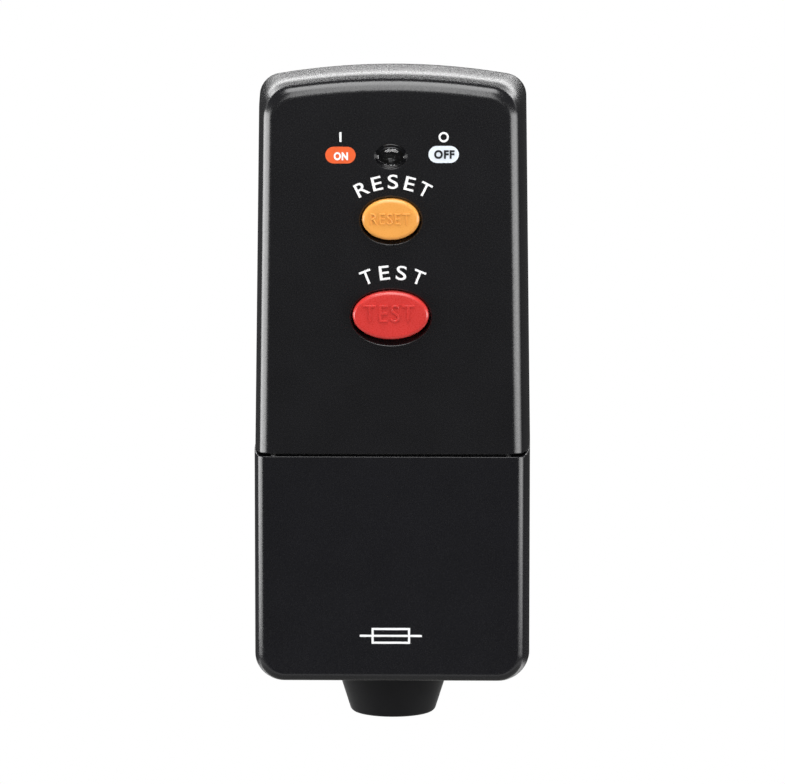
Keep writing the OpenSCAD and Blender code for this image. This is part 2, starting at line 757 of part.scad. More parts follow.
module contact_springs() {
    color([0.7, 0.7, 0.72])
        for (s = [-1, 1])
            coil(s * guide_x, reset_z, guide_d / 2 + 0.65, 0.25, 5, carriage_back_y + 0.02, frame_y - 0.02);
}

// a contact post on the board with a round contact on top
module fixed_contact(x, z) {
    box(x - rivet_r, x + rivet_r, fixed_y + rivet_h, board_y, z - rivet_r, z + rivet_r);
    rod_y(x, z, rivet_r - 0.1, fixed_y, fixed_y + rivet_h + 0.1);
}

module line_contacts() {
    color([0.78, 0.66, 0.4])
        for (s = [-1, 1])
            fixed_contact(s * contact_x, reset_z + contact_dz);
}

module load_contacts() {
    color([0.78, 0.66, 0.4])
        for (s = [-1, 1])
            fixed_contact(s * contact_x, reset_z - contact_dz);
}

module coil_core() {
    color([0.5, 0.5, 0.52])
        rod_y(0, reset_z, 1.6, pole_y, frame_y);
}

module coil_bobbin() {
    color([0.9, 0.88, 0.8])
        difference() {
            union() {
                rod_y(0, reset_z, 2.2, pole_y, frame_y);
                rod_y(0, reset_z, coil_r, pole_y, pole_y + 0.7);
                rod_y(0, reset_z, coil_r, frame_y - 0.7, frame_y);
            }
            rod_y(0, reset_z, 1.6 + run_gap, pole_y - 1, frame_y + 1);
        }
}

module coil_winding() {
    color([0.72, 0.4, 0.2])
        difference() {
            rod_y(0, reset_z, coil_r - 0.4, pole_y + 0.7, frame_y - 0.7);
            rod_y(0, reset_z, 2.2 + run_gap, pole_y, frame_y);
        }
}

// a ring sector about the flag's pivot, between two angles from the forward direction
module sector(r0, r1, a0, a1, w) {
    translate([0, pivot_y, pivot_z]) rotate([90, 0, 90]) translate([0, 0, -w / 2]) linear_extrude(w)
        intersection() {
            difference() {
                circle(r = r1);
                circle(r = r0);
            }
            polygon([[0, 0], [-2 * r1 * cos(a0), 2 * r1 * sin(a0)],
                [-2.4 * r1 * cos((a0 + a1) / 2), 2.4 * r1 * sin((a0 + a1) / 2)],
                [-2 * r1 * cos(a1), 2 * r1 * sin(a1)]]);
        }
}

module flag_lever() {
    color([0.06, 0.06, 0.06])
        difference() {
            union() {
                rod_x(pivot_y, pivot_z, 2, -4.9, 4.9);
                sector(flag_r - 1.2, flag_r, flag_a0, flag_a1, flag_w);
                sector(flag_r - 1.2, flag_r - 0.5, flag_a0, flag_a2, flag_w);
                sector(1.5, flag_r - 0.8, flag_a0, flag_a2, 1.6);
                box(-1.6, 1.6, pivot_y - pivot_d / 2, pivot_y + pivot_d / 2, drive_z, pivot_z);
                rod_x(pivot_y, drive_z, pivot_d / 2, -1.6, 1.6);
            }
            rod_x(pivot_y, pivot_z, pivot_d / 2 + run_gap, -far, far);
        }
}

module flag_band() {
    color([0.95, 0.42, 0.12])
        sector(flag_r - 0.5, flag_r, flag_a1, flag_a2, flag_w);
}

module flag_pin() {
    color([0.7, 0.7, 0.72])
        rod_x(pivot_y, pivot_z, pivot_d / 2, -ear_x - 1, ear_x + 1);
}

// a push button with an oval head, a retaining lip inside the case and a stem
module button(z, w, h, tip_y) {
    head_y = face_y - button_proud;
    hull() {
        oval_y(z, w - 1, h - 1, head_y, head_y + thin);
        oval_y(z, w - 0.3, h - 0.3, head_y + 0.18, head_y + 0.18 + thin);
        oval_y(z, w, h, head_y + 0.6, flange_y);
    }
    oval_y(z, w + 2 * button_lip, h + 2 * button_lip, flange_y, flange_y + flange_t);
    rod_y(0, z, stem_r, flange_y + flange_t - 0.1, tip_y);
}

module reset_button() {
    color([0.93, 0.6, 0.25])
        button(reset_z, reset_w, reset_h, carriage_y - touch_gap);
}

module reset_spring() {
    color([0.7, 0.7, 0.72])
        coil(0, reset_z, stem_r + 0.6, 0.25, 3, flange_y + flange_t + 0.02, carriage_y - touch_gap);
}

module test_button() {
    color([0.82, 0.2, 0.18])
        button(test_z, test_w, test_h, test_post_y - test_pad_t - touch_gap - test_travel);
}

module test_spring() {
    color([0.7, 0.7, 0.72])
        coil(0, test_z, stem_r + 0.6, 0.25, 4, flange_y + flange_t + 0.02, test_post_y - 0.02);
}

module test_post() {
    color([0.85, 0.84, 0.8])
        rod_y(0, test_z, 3.3, test_post_y, board_y);
}

module test_contact() {
    color([0.78, 0.66, 0.4])
        rod_y(0, test_z, 1.7, test_post_y - test_pad_t, test_post_y);
}

module sensing_ring() {
    color([0.75, 0.45, 0.2])
        translate([0, ring_y, ring_z0])
            rotate_extrude()
                polygon([[ring_bore_d / 2, 0.8], [ring_bore_d / 2 + 0.8, 0], [ring_od / 2 - 0.8, 0],
                    [ring_od / 2, 0.8], [ring_od / 2, ring_h - 0.8], [ring_od / 2 - 0.8, ring_h], [ring_bore_d / 2 + 0.8, ring_h],
                    [ring_bore_d / 2, ring_h - 0.8]]);
}

module control_chip() {
    color([0.1, 0.1, 0.1]) {
        box(chip_x, chip_x + chip_w, board_y - 3.3, board_y - 0.4, test_z - 1, test_z - 1 + chip_h);
        for (x = [chip_x - 0.5, chip_x + chip_w + 0.1])
            for (i = [0 : 3])
                box(x, x + 0.4, board_y - 1.8, board_y, test_z - 0.3 + 2.2 * i, test_z + 0.4 + 2.2 * i);
        for (i = [0 : 3])
            box(chip_x - 0.5, chip_x + chip_w + 0.5, board_y - 2, board_y - 1.7,
                test_z - 0.3 + 2.2 * i, test_z + 0.4 + 2.2 * i);
    }
}

module film_capacitor() {
    color([0.75, 0.6, 0.15])
        box(film_cap_x, film_cap_x + film_cap_w, board_y - film_cap_d, board_y,
            pivot_z + 4.6 - film_cap_h, pivot_z + 4.6);
}

module surge_disc() {
    color([0.15, 0.25, 0.55])
        union() {
            rod_x(board_y - disc_r - 0.5, pivot_z - 0.6, disc_r, -disc_x - disc_t, -disc_x);
            for (s = [-1, 1])
                box(-disc_x - disc_t / 2 - 0.35, -disc_x - disc_t / 2 + 0.35, board_y - 3, board_y,
                    pivot_z - 0.9 + 2.5 * s, pivot_z - 0.3 + 2.5 * s);
        }
}

module smoothing_capacitor() {
    color([0.12, 0.15, 0.3])
        rod_y(-can_x, test_z + 3.2, can_r, board_y - can_h, board_y);
}

module test_resistor() {
    color([0.75, 0.68, 0.5]) {
        rod_z(-5.4, board_y - 1.5, 1.15, test_z - 3, test_z + 3.4);
        for (z = [test_z - 4.2, test_z + 4])
            box(-5.7, -5.1, board_y - 1.8, board_y, z, z + 0.6);
        box(-5.7, -5.1, board_y - 1.8, board_y - 1.2, test_z - 4, test_z + 4.4);
    }
}

// the lead of one pole, from its load contact through the sensing ring to its terminal
module pole_lead(s) {
    x = contact_x;
    z0 = reset_z - contact_dz - rivet_r;
    ring_z1 = ring_z0 + ring_h;
    in_x = lead_r + 0.3;
    p = [[s * x, lead_y, z0], [s * x, lead_y, z0 - 5], [s * x, lead_y - 0.3, test_z],
        [s * (x - 2.5), lead_y - 1.6, test_z - 4], [s * 6, ring_y + 0.6, ring_z1 + 3],
        [s * (in_x + 0.6), ring_y, ring_z1 + 0.6], [s * in_x, ring_y, ring_z1 - 2],
        [s * in_x, ring_y, ring_z0 + 1], [s * (in_x + 1), ring_y, ring_z0 - 1.4],
        [s * 6.5, ring_y + 1.2, board_z0 - 1.2], [s * (terminal_x - 3), lead_y - 0.8, board_z0 - 2.8],
        [s * (terminal_x - 0.2), lead_y, seam_z + 1.6], [s * terminal_x, lead_y, seam_z - 1.5],
        [s * terminal_x, lead_y, terminal_z1 + 1.5], [s * terminal_x, lead_y, terminal_z1]];
    tube(smooth(p, 3), lead_r, [0, 1, 0]);
}

module live_lead() {
    color([0.4, 0.22, 0.1])
        pole_lead(1);
}

module neutral_lead() {
    color([0.15, 0.3, 0.65])
        pole_lead(-1);
}

module earth_lead() {
    gap_x = -(case_screw_x - sink_wall_r + board_post_xs[1] + 2.2) / 2;
    mid_y = (board_back_y + pin_head_y) / 2;
    side_x = body_w / 2 - 7.8;
    p = [[0, pin_head_y, earth_z], [0, pin_head_y - 1, earth_z], [-1.4, mid_y + 0.3, earth_z],
        [-5, mid_y, earth_z], [5 - side_x, mid_y, earth_z - 0.6], [0.6 - side_x, mid_y, earth_z - 5],
        [-side_x, mid_y, line_z + 8], [-side_x, mid_y, line_z - 6], [2.2 - side_x, mid_y, board_z0 + 8],
        [gap_x, mid_y, board_z0 + 3], [gap_x, mid_y - 0.2, board_z0 - 3],
        [gap_x + 2.4, board_back_y + 0.4, seam_z + 1], [-4.2, board_back_y - 0.4, seam_z - 1.8],
        [-0.8, core_y - 1, terminal_z1 + 2], [0, core_y - 1.2, terminal_z1 + 1], [0, core_y - 1.2, terminal_z1]];
    color([0.35, 0.55, 0.15])
        tube(smooth(p, 3), lead_r - 0.1, [1, 1, 1]);
}

// a brass terminal with a hole for a core from below and a thread for its clamp screw
module terminal(x) {
    color([0.78, 0.66, 0.4])
        difference() {
            box(x - terminal_w / 2, x + terminal_w / 2, terminal_y0, terminal_y1, terminal_z0, terminal_z1);
            rod_z(x, core_y, core_hole_d / 2, terminal_z0 - 1, terminal_z0 + 7);
            rod_y(x, clamp_z, clamp_screw_r + run_gap, terminal_y0 - 1, core_y);
        }
}

module live_terminal() {
    terminal(terminal_x);
}

module neutral_terminal() {
    terminal(-terminal_x);
}

module earth_terminal() {
    terminal(0);
}

module terminal_screws() {
    color([0.72, 0.72, 0.74])
        for (x = [-terminal_x, 0, terminal_x])
            screw(x, terminal_y0 - screw_head_h, clamp_z, 1, clamp_head_r, screw_head_h, clamp_screw_r,
                core_y - core_hole_d / 2 - terminal_y0 + screw_head_h);
}

module cord_grip_bar() {
    color([0.8, 0.79, 0.75])
        difference() {
            box(-grip_bar_x, grip_bar_x, grip_bar_y - grip_bar_t, grip_bar_y, grip_z - grip_half, grip_z + grip_half);
            for (s = [-1, 1])
                rod_y(s * grip_x, grip_z, 1.6, grip_bar_y - 5, grip_bar_y + 1);
        }
}

module cord_grip_screws() {
    color([0.72, 0.72, 0.74])
        for (s = [-1, 1])
            screw(s * grip_x, grip_bar_y - grip_bar_t - screw_head_h, grip_z, 1, clamp_head_r, screw_head_h, screw_r,
                grip_screw_len);
}

front_case();
rear_case();
terminal_cover();
flex_guard();
indicator_lens();
case_screws();
cover_screws();
live_pin();
neutral_pin();
earth_pin();
pin_sleeves();
fuse_carrier();
fuse_body();
fuse_caps();
live_fuse_clip();
load_fuse_clip();
circuit_board();
board_screws();
mechanism_frame();
contact_carriage();
armature_plate();
moving_contacts();
contact_springs();
line_contacts();
load_contacts();
coil_core();
coil_bobbin();
coil_winding();
flag_lever();
flag_band();
flag_pin();
reset_button();
reset_spring();
test_button();
test_spring();
test_post();
test_contact();
sensing_ring();
control_chip();
film_capacitor();
surge_disc();
smoothing_capacitor();
test_resistor();
live_lead();
neutral_lead();
earth_lead();
live_terminal();
neutral_terminal();
earth_terminal();
terminal_screws();
cord_grip_bar();
cord_grip_screws();
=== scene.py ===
"""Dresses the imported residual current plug, piece by piece, and sets it on a plain studio stage."""
import json
import math

import bmesh
import bpy
from mathutils import Matrix, Vector

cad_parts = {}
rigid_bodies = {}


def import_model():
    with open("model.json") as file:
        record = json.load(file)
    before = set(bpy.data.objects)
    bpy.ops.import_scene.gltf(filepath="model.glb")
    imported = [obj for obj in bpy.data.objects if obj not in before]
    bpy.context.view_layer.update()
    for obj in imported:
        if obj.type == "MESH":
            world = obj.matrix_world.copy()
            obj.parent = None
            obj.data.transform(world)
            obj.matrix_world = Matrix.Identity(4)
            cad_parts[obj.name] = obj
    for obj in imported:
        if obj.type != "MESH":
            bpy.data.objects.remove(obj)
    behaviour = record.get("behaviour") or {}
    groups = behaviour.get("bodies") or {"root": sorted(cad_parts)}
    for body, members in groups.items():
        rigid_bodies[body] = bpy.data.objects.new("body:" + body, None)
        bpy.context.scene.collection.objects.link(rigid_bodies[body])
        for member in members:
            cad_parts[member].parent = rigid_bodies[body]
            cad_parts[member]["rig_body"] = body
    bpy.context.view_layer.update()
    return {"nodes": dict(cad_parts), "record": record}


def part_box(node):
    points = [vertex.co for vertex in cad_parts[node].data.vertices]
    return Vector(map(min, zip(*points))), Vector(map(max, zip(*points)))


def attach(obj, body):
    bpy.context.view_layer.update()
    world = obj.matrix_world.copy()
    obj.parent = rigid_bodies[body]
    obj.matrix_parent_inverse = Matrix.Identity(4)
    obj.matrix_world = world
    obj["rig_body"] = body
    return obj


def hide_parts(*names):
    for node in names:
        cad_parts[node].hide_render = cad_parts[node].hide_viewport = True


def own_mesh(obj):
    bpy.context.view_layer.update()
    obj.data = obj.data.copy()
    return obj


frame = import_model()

bl_info = {
    "name": "Residual current plug",
    "version": (1, 0, 0),
    "blender": (4, 5, 0),
    "location": "3D View > Sidebar > Plug",
    "description": "Dresses the packed plug, piece by piece, and sets its stage",
    "category": "Object",
}

SLOTS = {row["node"]: row["material_slot"] for row in frame["record"]["subparts"]}
MM = 0.001


def box_mm(node):
    """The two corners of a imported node's box, in millimetres."""
    return [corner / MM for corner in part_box(node)]


CASE_LOW, CASE_HIGH = box_mm("front_case")
REAR_LOW, REAR_HIGH = box_mm("rear_case")
GUARD_LOW, GUARD_HIGH = box_mm("flex_guard")

# Sizes that the shapes share, in millimetres
PARTING_GAP = 0.1  # between the rear case and what closes on it
SUPPORT = 0.15  # flat margin beside a rounding, so that its shading stays off the flat
GUARD_ROOT = GUARD_HIGH.x  # radius of the guard where it leaves the body
GROOVE_R = GUARD_ROOT - 1.7  # radius of the groove that holds the guard's neck
FLEX_R = 4.2  # radius of the bore for the flex
PIN_PLACE = 11.115  # from the pin centre to the middle of each pin, across and up
LINE_PIN = (6.35, 3.97)  # width and height of the live and the neutral pin
EARTH_PIN = (3.97, 7.95)
PIN_SLACK = 0.08  # added to a pin's sizes for its opening
LINE_PIN_END = 17.7  # how far the pins and the sleeves stand out of the plug face
EARTH_PIN_END = 22.73
SLEEVE_END = 9.5
WINDOW = (2.9, 2.25)  # half sizes of the window's bezel
BUTTON_LIP = 0.9  # how far a button's lip reaches behind the wall
LIP_Y = -33.9  # front of the buttons' lips
GRIP_RISE = 10.7  # from the foot to the cord grip
POST_R = 3.3  # radius of the posts that the case and cover screws go into
PRINT_PROUD = 0.03  # how far the print stands on the face
PRINT_THICK = 0.05

# Counts and forms of the roundings
CORNER_STEPS = 14
ROUND_STEPS = 10
WALL_STEPS = 10
BULGE_POWER = 6  # how late a wall's bulge turns in towards the front edge
BULGE_PEAK = 0.5823  # greatest value of share - share ** BULGE_POWER
MERGE = 1e-7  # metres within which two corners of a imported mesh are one

# Noise lies mostly between these two values
NOISE_LOW, NOISE_HIGH = 0.3, 0.7

# node: head radius, head height, shank radius, way of the shank along Y, places across for each row
SCREWS = {
    "case_screws": (2.7, 2, 1.45, -1, ((-18, 18), (-18, 18))),
    "cover_screws": (2.7, 2, 1.45, -1, ((-18.5, 18.5),)),
    "terminal_screws": (2.6, 2, 1.5, 1, ((-15, 0, 15),)),
    "cord_grip_screws": (2.6, 2, 1.45, 1, ((-9.5, 9.5),)),
    "board_screws": (2, 1.3, 1, 1, ((-8.5, 8.5), (-6, 6))),
}

# node: body, slot, word, type size and width of its letters, word's place across and up, slack round the head
BUTTONS = {
    "reset_button": ("reset", "reset_amber", "RESET", 3.0, 0.88, -0.2, 0.1, 0.3),
    "test_button": ("test", "test_red", "TEST", 4.65, 0.885, -0.35, 0.36, 0.48),
}


def linear(hex_colour):
    """A colour written as sRGB hex, as linear RGB."""
    channels = [int(hex_colour[i:i + 2], 16) / 255 for i in (1, 3, 5)]
    return tuple(c / 12.92 if c <= 0.04045 else ((c + 0.055) / 1.055) ** 2.4 for c in channels)


def length(name, description, mm):
    """A size in metres, given in millimetres."""
    return bpy.props.FloatProperty(
        name=name, description=description, default=mm * MM, precision=5, unit="LENGTH")


def colour(name, description, hex_colour):
    """A colour that a user may change, given as sRGB hex."""
    return bpy.props.FloatVectorProperty(
        name=name, description=description, default=linear(hex_colour), size=3, min=0, max=1, subtype="COLOR")


class PlugSizes(bpy.types.PropertyGroup):
    """Sizes of the shells and the controls."""

    body_w: length("Body width", "Width at the parting line", REAR_HIGH.x * 2)
    top_w: length("Top width", "Width where the crown begins", 50.2)
    face_y: length("Front face", "Place of the front face along Y", CASE_LOW.y)
    parting_y: length("Parting line", "Place of the parting line along Y", CASE_HIGH.y + PARTING_GAP)
    top_z: length("Top", "Height of the crown above the pin centre", CASE_HIGH.z)
    foot_z: length("Foot", "Height of the foot, below the pin centre", REAR_LOW.z)
    cover_h: length("Cover height", "Height of the terminal cover", CASE_LOW.z - REAR_LOW.z + 1.7)
    crown_r: length("Crown radius", "Radius of the top edge", 130)
    top_corner_r: length("Top corners", "Radius of the top corners at the parting line", 4.2)
    top_front_r: length("Top corners in front", "Radius of the top corners at the front edge", 7.4)
    foot_corner_r: length("Bottom corners", "Radius of the bottom corners at the parting line", 3)
    foot_front_r: length("Bottom corners in front", "Radius of the bottom corners at the front edge", 6.2)
    wall: length("Wall", "Wall of the front case and the cover", 2)
    floor: length("Rear wall", "Wall behind the plug face", 2.5)
    front_draft: length("Front draft", "Lean of the front case's walls", 1.3)
    cover_draft: length("Cover draft", "Lean of the cover's walls", 1.1)
    wall_bulge: length("Wall bulge", "Barrel of the front walls between their two edges", 0.46)
    front_round: length("Case edge", "Rounding of the front case's front edge", 2.4)
    cover_round: length("Cover edge", "Rounding of the cover's front edge", 1.6)
    rear_draft: length("Rear draft", "Lean of the rear walls", 0.8)
    rear_round: length("Rear edge", "Rounding of the plug face's edge", 1.6)
    seam_gap: length("Seam", "Gap between the front case and the cover", 0.6)
    seam_round: length("Seam edge", "Rounding of the two edges at the seam", 0.07)
    parting_gap: length("Parting gap", "Gap at the parting line", PARTING_GAP)
    parting_round: length("Parting edge", "Rounding of the edges at the parting line", 0.3)


class PlugFittings(bpy.types.PropertyGroup):
    """Sizes of the screws, the springs and the windings."""

    thread_pitch: length("Thread pitch", "Rise of the screws' thread in one turn", 1.1)
    spring_wire: length("Spring wire", "Radius of the springs' wire", 0.25)
    coil_wire: length("Coil wire", "Radius of the hold-in coil's wire", 0.16)
    ring_wire: length("Ring wire", "Radius of the sensing ring's wire", 0.25)
    ring_turns: bpy.props.IntProperty(
        name="Ring turns", description="Turns of wire round the sensing ring", default=50, min=8, max=52)


class PlugColours(bpy.types.PropertyGroup):
    """Colours of the mouldings and the print."""

    case: colour("Case", "Black of the front and rear case", "#151517")
    cover: colour("Cover", "Black of the terminal cover", "#151518")
    guard: colour("Guard", "Black of the flex guard", "#151517")
    reset: colour("Reset", "Amber of the reset button", "#e59e4b")
    test: colour("Test", "Red of the test button", "#c63632")
    flag: colour("Flag", "Orange of the indicator flag", "#f3702f")
    on_mark: colour("On mark", "Orange of the mark beside the window", "#e26032")
    off_mark: colour("Off mark", "White of the mark beside the window", "#e1e8f0")
    ink: colour("Ink", "White of the printed signs", "#f2f3f4")


# Shapes, in millimetres


def arc(cx, cz, r, start, end, steps, tight=False):
    """Samples of an arc as (x, z, normal x, normal z, radius), with a radius only on a tight corner."""
    out = []
    for i in range(steps + 1):
        a = math.radians(start + (end - start) * i / steps)
        out.append((cx + r * math.cos(a), cz + r * math.sin(a), math.cos(a), math.sin(a), r if tight else 0))
    return out


def body_sizes(context):
    """The shells' sizes in millimetres, with what follows from them."""
    group = context.scene.plug_sizes
    s = {key: getattr(group, key) / MM for key in group.__annotations__}
    s["seam_z"] = s["foot_z"] + s["cover_h"]
    s["crown_z"] = s["top_z"] - s["crown_r"]
    return s


def upper_chain(s, ends, r):
    """Outline samples from the right side over the crown to the left side, from the heights in ends."""
    x = s["top_w"] / 2 - r
    z = s["crown_z"] + math.sqrt((s["crown_r"] - r) ** 2 - x ** 2)
    turn = math.degrees(math.atan2(z - s["crown_z"], x))
    lean = (s["top_w"] - s["body_w"]) / 2 / (z - s["seam_z"])
    rise = list(ends) + [ends[-1] + (z - ends[-1]) * i / 8 for i in range(1, 8)]
    right = [(s["body_w"] / 2 + lean * (h - s["seam_z"]), h, 1, 0, 0) for h in rise]
    half = right + arc(x, z, r, 0, turn, CORNER_STEPS, True)
    crown = arc(0, s["crown_z"], s["crown_r"], turn, 180 - turn, 20)[1:-1]
    mirrored = [(-x, z, -nx, nz, r) for x, z, nx, nz, r in reversed(half)]
    return half + crown + mirrored


def lower_chain(s, ends, r):
    """Outline samples from the left side round the foot to the right side, from the heights in ends."""
    side, low = s["body_w"] / 2, s["foot_z"] + r
    drop = list(ends) + [ends[-1] + (low - ends[-1]) * i / 6 for i in range(1, 6)]
    half = [(-side, z, -1, 0, 0) for z in drop] + arc(r - side, low, r, 180, 270, CORNER_STEPS, True)
    span = side - r
    foot = [(-span + 2 * span * i / 12, s["foot_z"], 0, -1, 0) for i in range(1, 12)]
    mirrored = [(-x, z, -nx, nz, r) for x, z, nx, nz, r in reversed(half)]
    return half + foot + mirrored


def drawn_in(sample, inset):
    """A sample of the outline moved inwards; a corner tighter than that closes to a point."""
    x, z, nx, nz, r = sample
    if r and inset > r - 0.02:
        over = inset - r
        cx, cz = x - r * nx, z - r * nz
        return cx - math.copysign(over, cx), cz - math.copysign(over, nz)
    return x - inset * nx, z - inset * nz


def profile(back, front, edge, draft, rounding, bulge=0):
    """Wall levels from the parting edge to the face.

    Each is (y, inset, lean of the normal towards the face, share of the way to the front edge).
    """
    way = 1 if front > back else -1
    levels = []
    for i in range(4):
        a = math.radians(90 - 30 * i)
        levels.append((back + way * edge * (1 - math.sin(a)), edge * (1 - math.cos(a)), -a, 0))
    start = back + way * (edge + SUPPORT)
    end = front - way * (rounding + SUPPORT)
    lean = 0
    belly = bulge / BULGE_PEAK
    for i in range(WALL_STEPS + 1):
        share = i / WALL_STEPS
        lean = math.atan2(draft - belly * (1 - BULGE_POWER * share ** (BULGE_POWER - 1)), abs(end - start))
        inset = draft * share - belly * (share - share ** BULGE_POWER)
        levels.append((start + (end - start) * share, inset, lean, share))
    for i in range(1, ROUND_STEPS + 1):
        a = lean + (math.pi / 2 - lean) * i / ROUND_STEPS
        back_by, in_by = rounding * (1 - math.sin(a)), rounding * (1 - math.cos(a))
        levels.append((front - way * back_by, draft + in_by, a, 1))
    levels.append((front, draft + rounding + SUPPORT, math.pi / 2, 1))
    return levels


def inner_profile(levels, wall, floor, most=math.inf):
    """The same levels as (y, inset, share), drawn in by the wall, and by the floor from the face.

    most is as far as the inset grows, which makes a tight inner corner.
    """
    back, front = levels[0][0], levels[-1][0]
    depth = 1 - floor / abs(front - back)
    return [(back + (y - back) * depth, wall + min(inset, most) if lean >= 0 else wall, share)
            for y, inset, lean, share in levels]


def ring(bm, points):
    """A row of new vertices."""
    return [bm.verts.new(p) for p in points]


def bridge(bm, a, b, closed=True):
    """Quads between two rows of vertices of the same length."""
    n = len(a)
    for i in range(n if closed else n - 1):
        j = (i + 1) % n
        bm.faces.new((a[i], a[j], b[j], b[i]))


def loft(bm, rows, closed=True):
    """Quads between each row and the next."""
    for a, b in zip(rows, rows[1:]):
        bridge(bm, a, b, closed)


def fill(bm, loops, normal):
    """Flat triangles inside the first loop and outside the others."""
    edges = []
    for loop in loops:
        for a, b in zip(loop, loop[1:] + loop[:1]):
            edges.append(bm.edges.get((a, b)) or bm.edges.new((a, b)))
    bmesh.ops.triangle_fill(bm, use_beauty=True, use_dissolve=False, edges=edges, normal=normal)


def oval(x, z, a, b, y, steps=64):
    """A loop of points round an oval in the plane at y."""
    return [(x + a * math.cos(2 * math.pi * i / steps), y, z + b * math.sin(2 * math.pi * i / steps))
            for i in range(steps)]


def edge_rows(a, b, y, r, turn, steps, rise):
    """Rows (half width, half height, y, rise) round the edge of an oval, turned so many degrees."""
    turns = [math.radians(turn * i / steps) for i in range(steps + 1)]
    return [(a - r * (1 - math.cos(t)), b - r * (1 - math.cos(t)), y - r * math.sin(t), rise) for t in turns]


def dome_rows(a, b, y, crown, rise, steps=8):
    """Rows from the edge of an oval towards its middle, which stands out by the crown."""
    shares = [1 - i / steps for i in range(1, steps)]
    return [(a * k, b * k, y - crown * (1 - k * k), rise) for k in shares]


def oval_rows(bm, z, rows):
    """Rows of new vertices round ovals, from rows (half width, half height, y, rise) about the height z."""
    return [ring(bm, oval(0, z + rise, a, b, y)) for a, b, y, rise in rows]


def rounded_box_loop(x, z, w, h, r, y, steps=5):
    """A rectangle with rounded corners in the plane at y, as a loop of points."""
    out = []
    for cx, cz, start in ((w / 2 - r, h / 2 - r, 0), (r - w / 2, h / 2 - r, 90),
                          (r - w / 2, r - h / 2, 180), (w / 2 - r, r - h / 2, 270)):
        for i in range(steps + 1):
            a = math.radians(start + 90 * i / steps)
            out.append((x + cx + r * math.cos(a), y, z + cz + r * math.sin(a)))
    return out


def oval_hole(z, a, b, face, inner, rim):
    """Loops of an oval hole with a rounded rim, from the face to the inner face."""
    loops = [oval(0, z, a + rim + SUPPORT, b + rim + SUPPORT, face)]
    for i in range(5):
        t = math.radians(90 * i / 4)
        grow = rim * (1 - math.sin(t))
        loops.append(oval(0, z, a + grow, b + grow, face + rim * (1 - math.cos(t))))
    loops.append(oval(0, z, a, b, inner))
    return loops


def add_holes(bm, holes):
    """Walls of the holes; gives the loops on the face and on the inner face."""
    on_face, on_inner = [], []
    for loops in holes:
        rows = [ring(bm, loop) for loop in loops]
        loft(bm, rows)
        on_face.append(rows[0])
        on_inner.append(rows[-1])
    return on_face, on_inner


def front_shell(bm, s, outline, rounding, draft, way, end_z, holes):
    """A closed shell in front of the parting line: way is 1 for one above the seam, -1 for one below it.

    outline gives its samples at a share of the way from the parting line to the front edge.
    """
    back = s["parting_y"] - s["parting_gap"]
    levels = profile(back, s["face_y"], s["parting_round"], draft, rounding, s["wall_bulge"])
    inner = inner_profile(levels, s["wall"], s["wall"])
    turns = [math.radians(90 * k / 4) for k in range(1, 5)]
    edge = s["seam_round"]

    def seam_end(share):
        """Height of the end at the seam, whose gap closes up behind the front edge."""
        return end_z - way * s["seam_gap"] * 0.4 * (1 - share ** 6)

    outer_rows = []
    for y, inset, lean, share in levels:
        chain = outline(share)
        ends = []
        for sample in (chain[0], chain[-1]):
            x = sample[0] - inset * sample[2]
            column = []
            for a in turns:
                d = edge * (1 - math.cos(a))
                column.append((x - d * math.cos(lean) * sample[2], y + d * math.sin(lean),
                               seam_end(share) + way * edge * (1 - math.sin(a))))
            ends.append(column)
        middle = [(p[0], y, p[1]) for p in (drawn_in(sample, inset) for sample in chain)]
        outer_rows.append(ring(bm, ends[0][::-1] + middle + ends[1]))
    loft(bm, outer_rows, False)
    inner_rows = []
    for y, inset, share in inner:
        row = [drawn_in(sample, inset) for sample in outline(share)]
        row[0], row[-1] = (row[0][0], seam_end(share)), (row[-1][0], seam_end(share))
        inner_rows.append(ring(bm, [(x, y, z) for x, z in row]))
    loft(bm, inner_rows, False)
    # the face's end rows along the seam, from its flat to the turned edge
    last = outer_rows[-1]
    count = len(turns)
    across = 24
    rows = []
    for k in range(count + 2):
        a, b = last[count + 1 - k], last[-count - 2 + k]
        between = [a.co.lerp(b.co, i / across) for i in range(1, across)]
        rows.append([a] + ring(bm, between) + [b])
    loft(bm, rows, False)
    a, b = inner_rows[-1][0], inner_rows[-1][-1]
    inner_row = [a] + ring(bm, [a.co.lerp(b.co, i / across) for i in range(1, across)]) + [b]
    outer_edge = [row[0] for row in outer_rows] + rows[-1][1:-1] + [row[-1] for row in reversed(outer_rows)]
    inner_edge = [row[0] for row in inner_rows] + inner_row[1:-1] + [row[-1] for row in reversed(inner_rows)]
    bridge(bm, outer_edge, inner_edge, False)
    # the rim at the parting line
    first = outer_rows[0]
    bridge(bm, first[count:-count], inner_rows[0], False)
    for i in range(count):
        bm.faces.new((first[i], first[i + 1], inner_rows[0][0]))
        bm.faces.new((first[-1 - i], first[-2 - i], inner_rows[0][-1]))
    on_face, on_inner = add_holes(bm, holes)
    fill(bm, [last[count + 1:-count - 1] + rows[0][1:-1][::-1]] + on_face, (0, -1, 0))
    fill(bm, [inner_rows[-1] + inner_row[1:-1][::-1]] + on_inner, (0, 1, 0))


def capped(bm, rows):
    """A closed shape from rows, with a flat face on the first and the last."""
    loft(bm, rows)
    bm.faces.new(rows[0])
    bm.faces.new(rows[-1])


def block(bm, low, high, r, steps=2):
    """A box with rounded edges."""
    made = bmesh.ops.create_cube(bm, size=1)["verts"]
    for v in made:
        v.co = Vector([l + (h - l) * (c + 0.5) for l, h, c in zip(low, high, v.co)])
    edges = list({e for v in made for e in v.link_edges})
    bmesh.ops.bevel(bm, geom=edges, offset=r, segments=steps, profile=0.5, affect="EDGES", clamp_overlap=True)


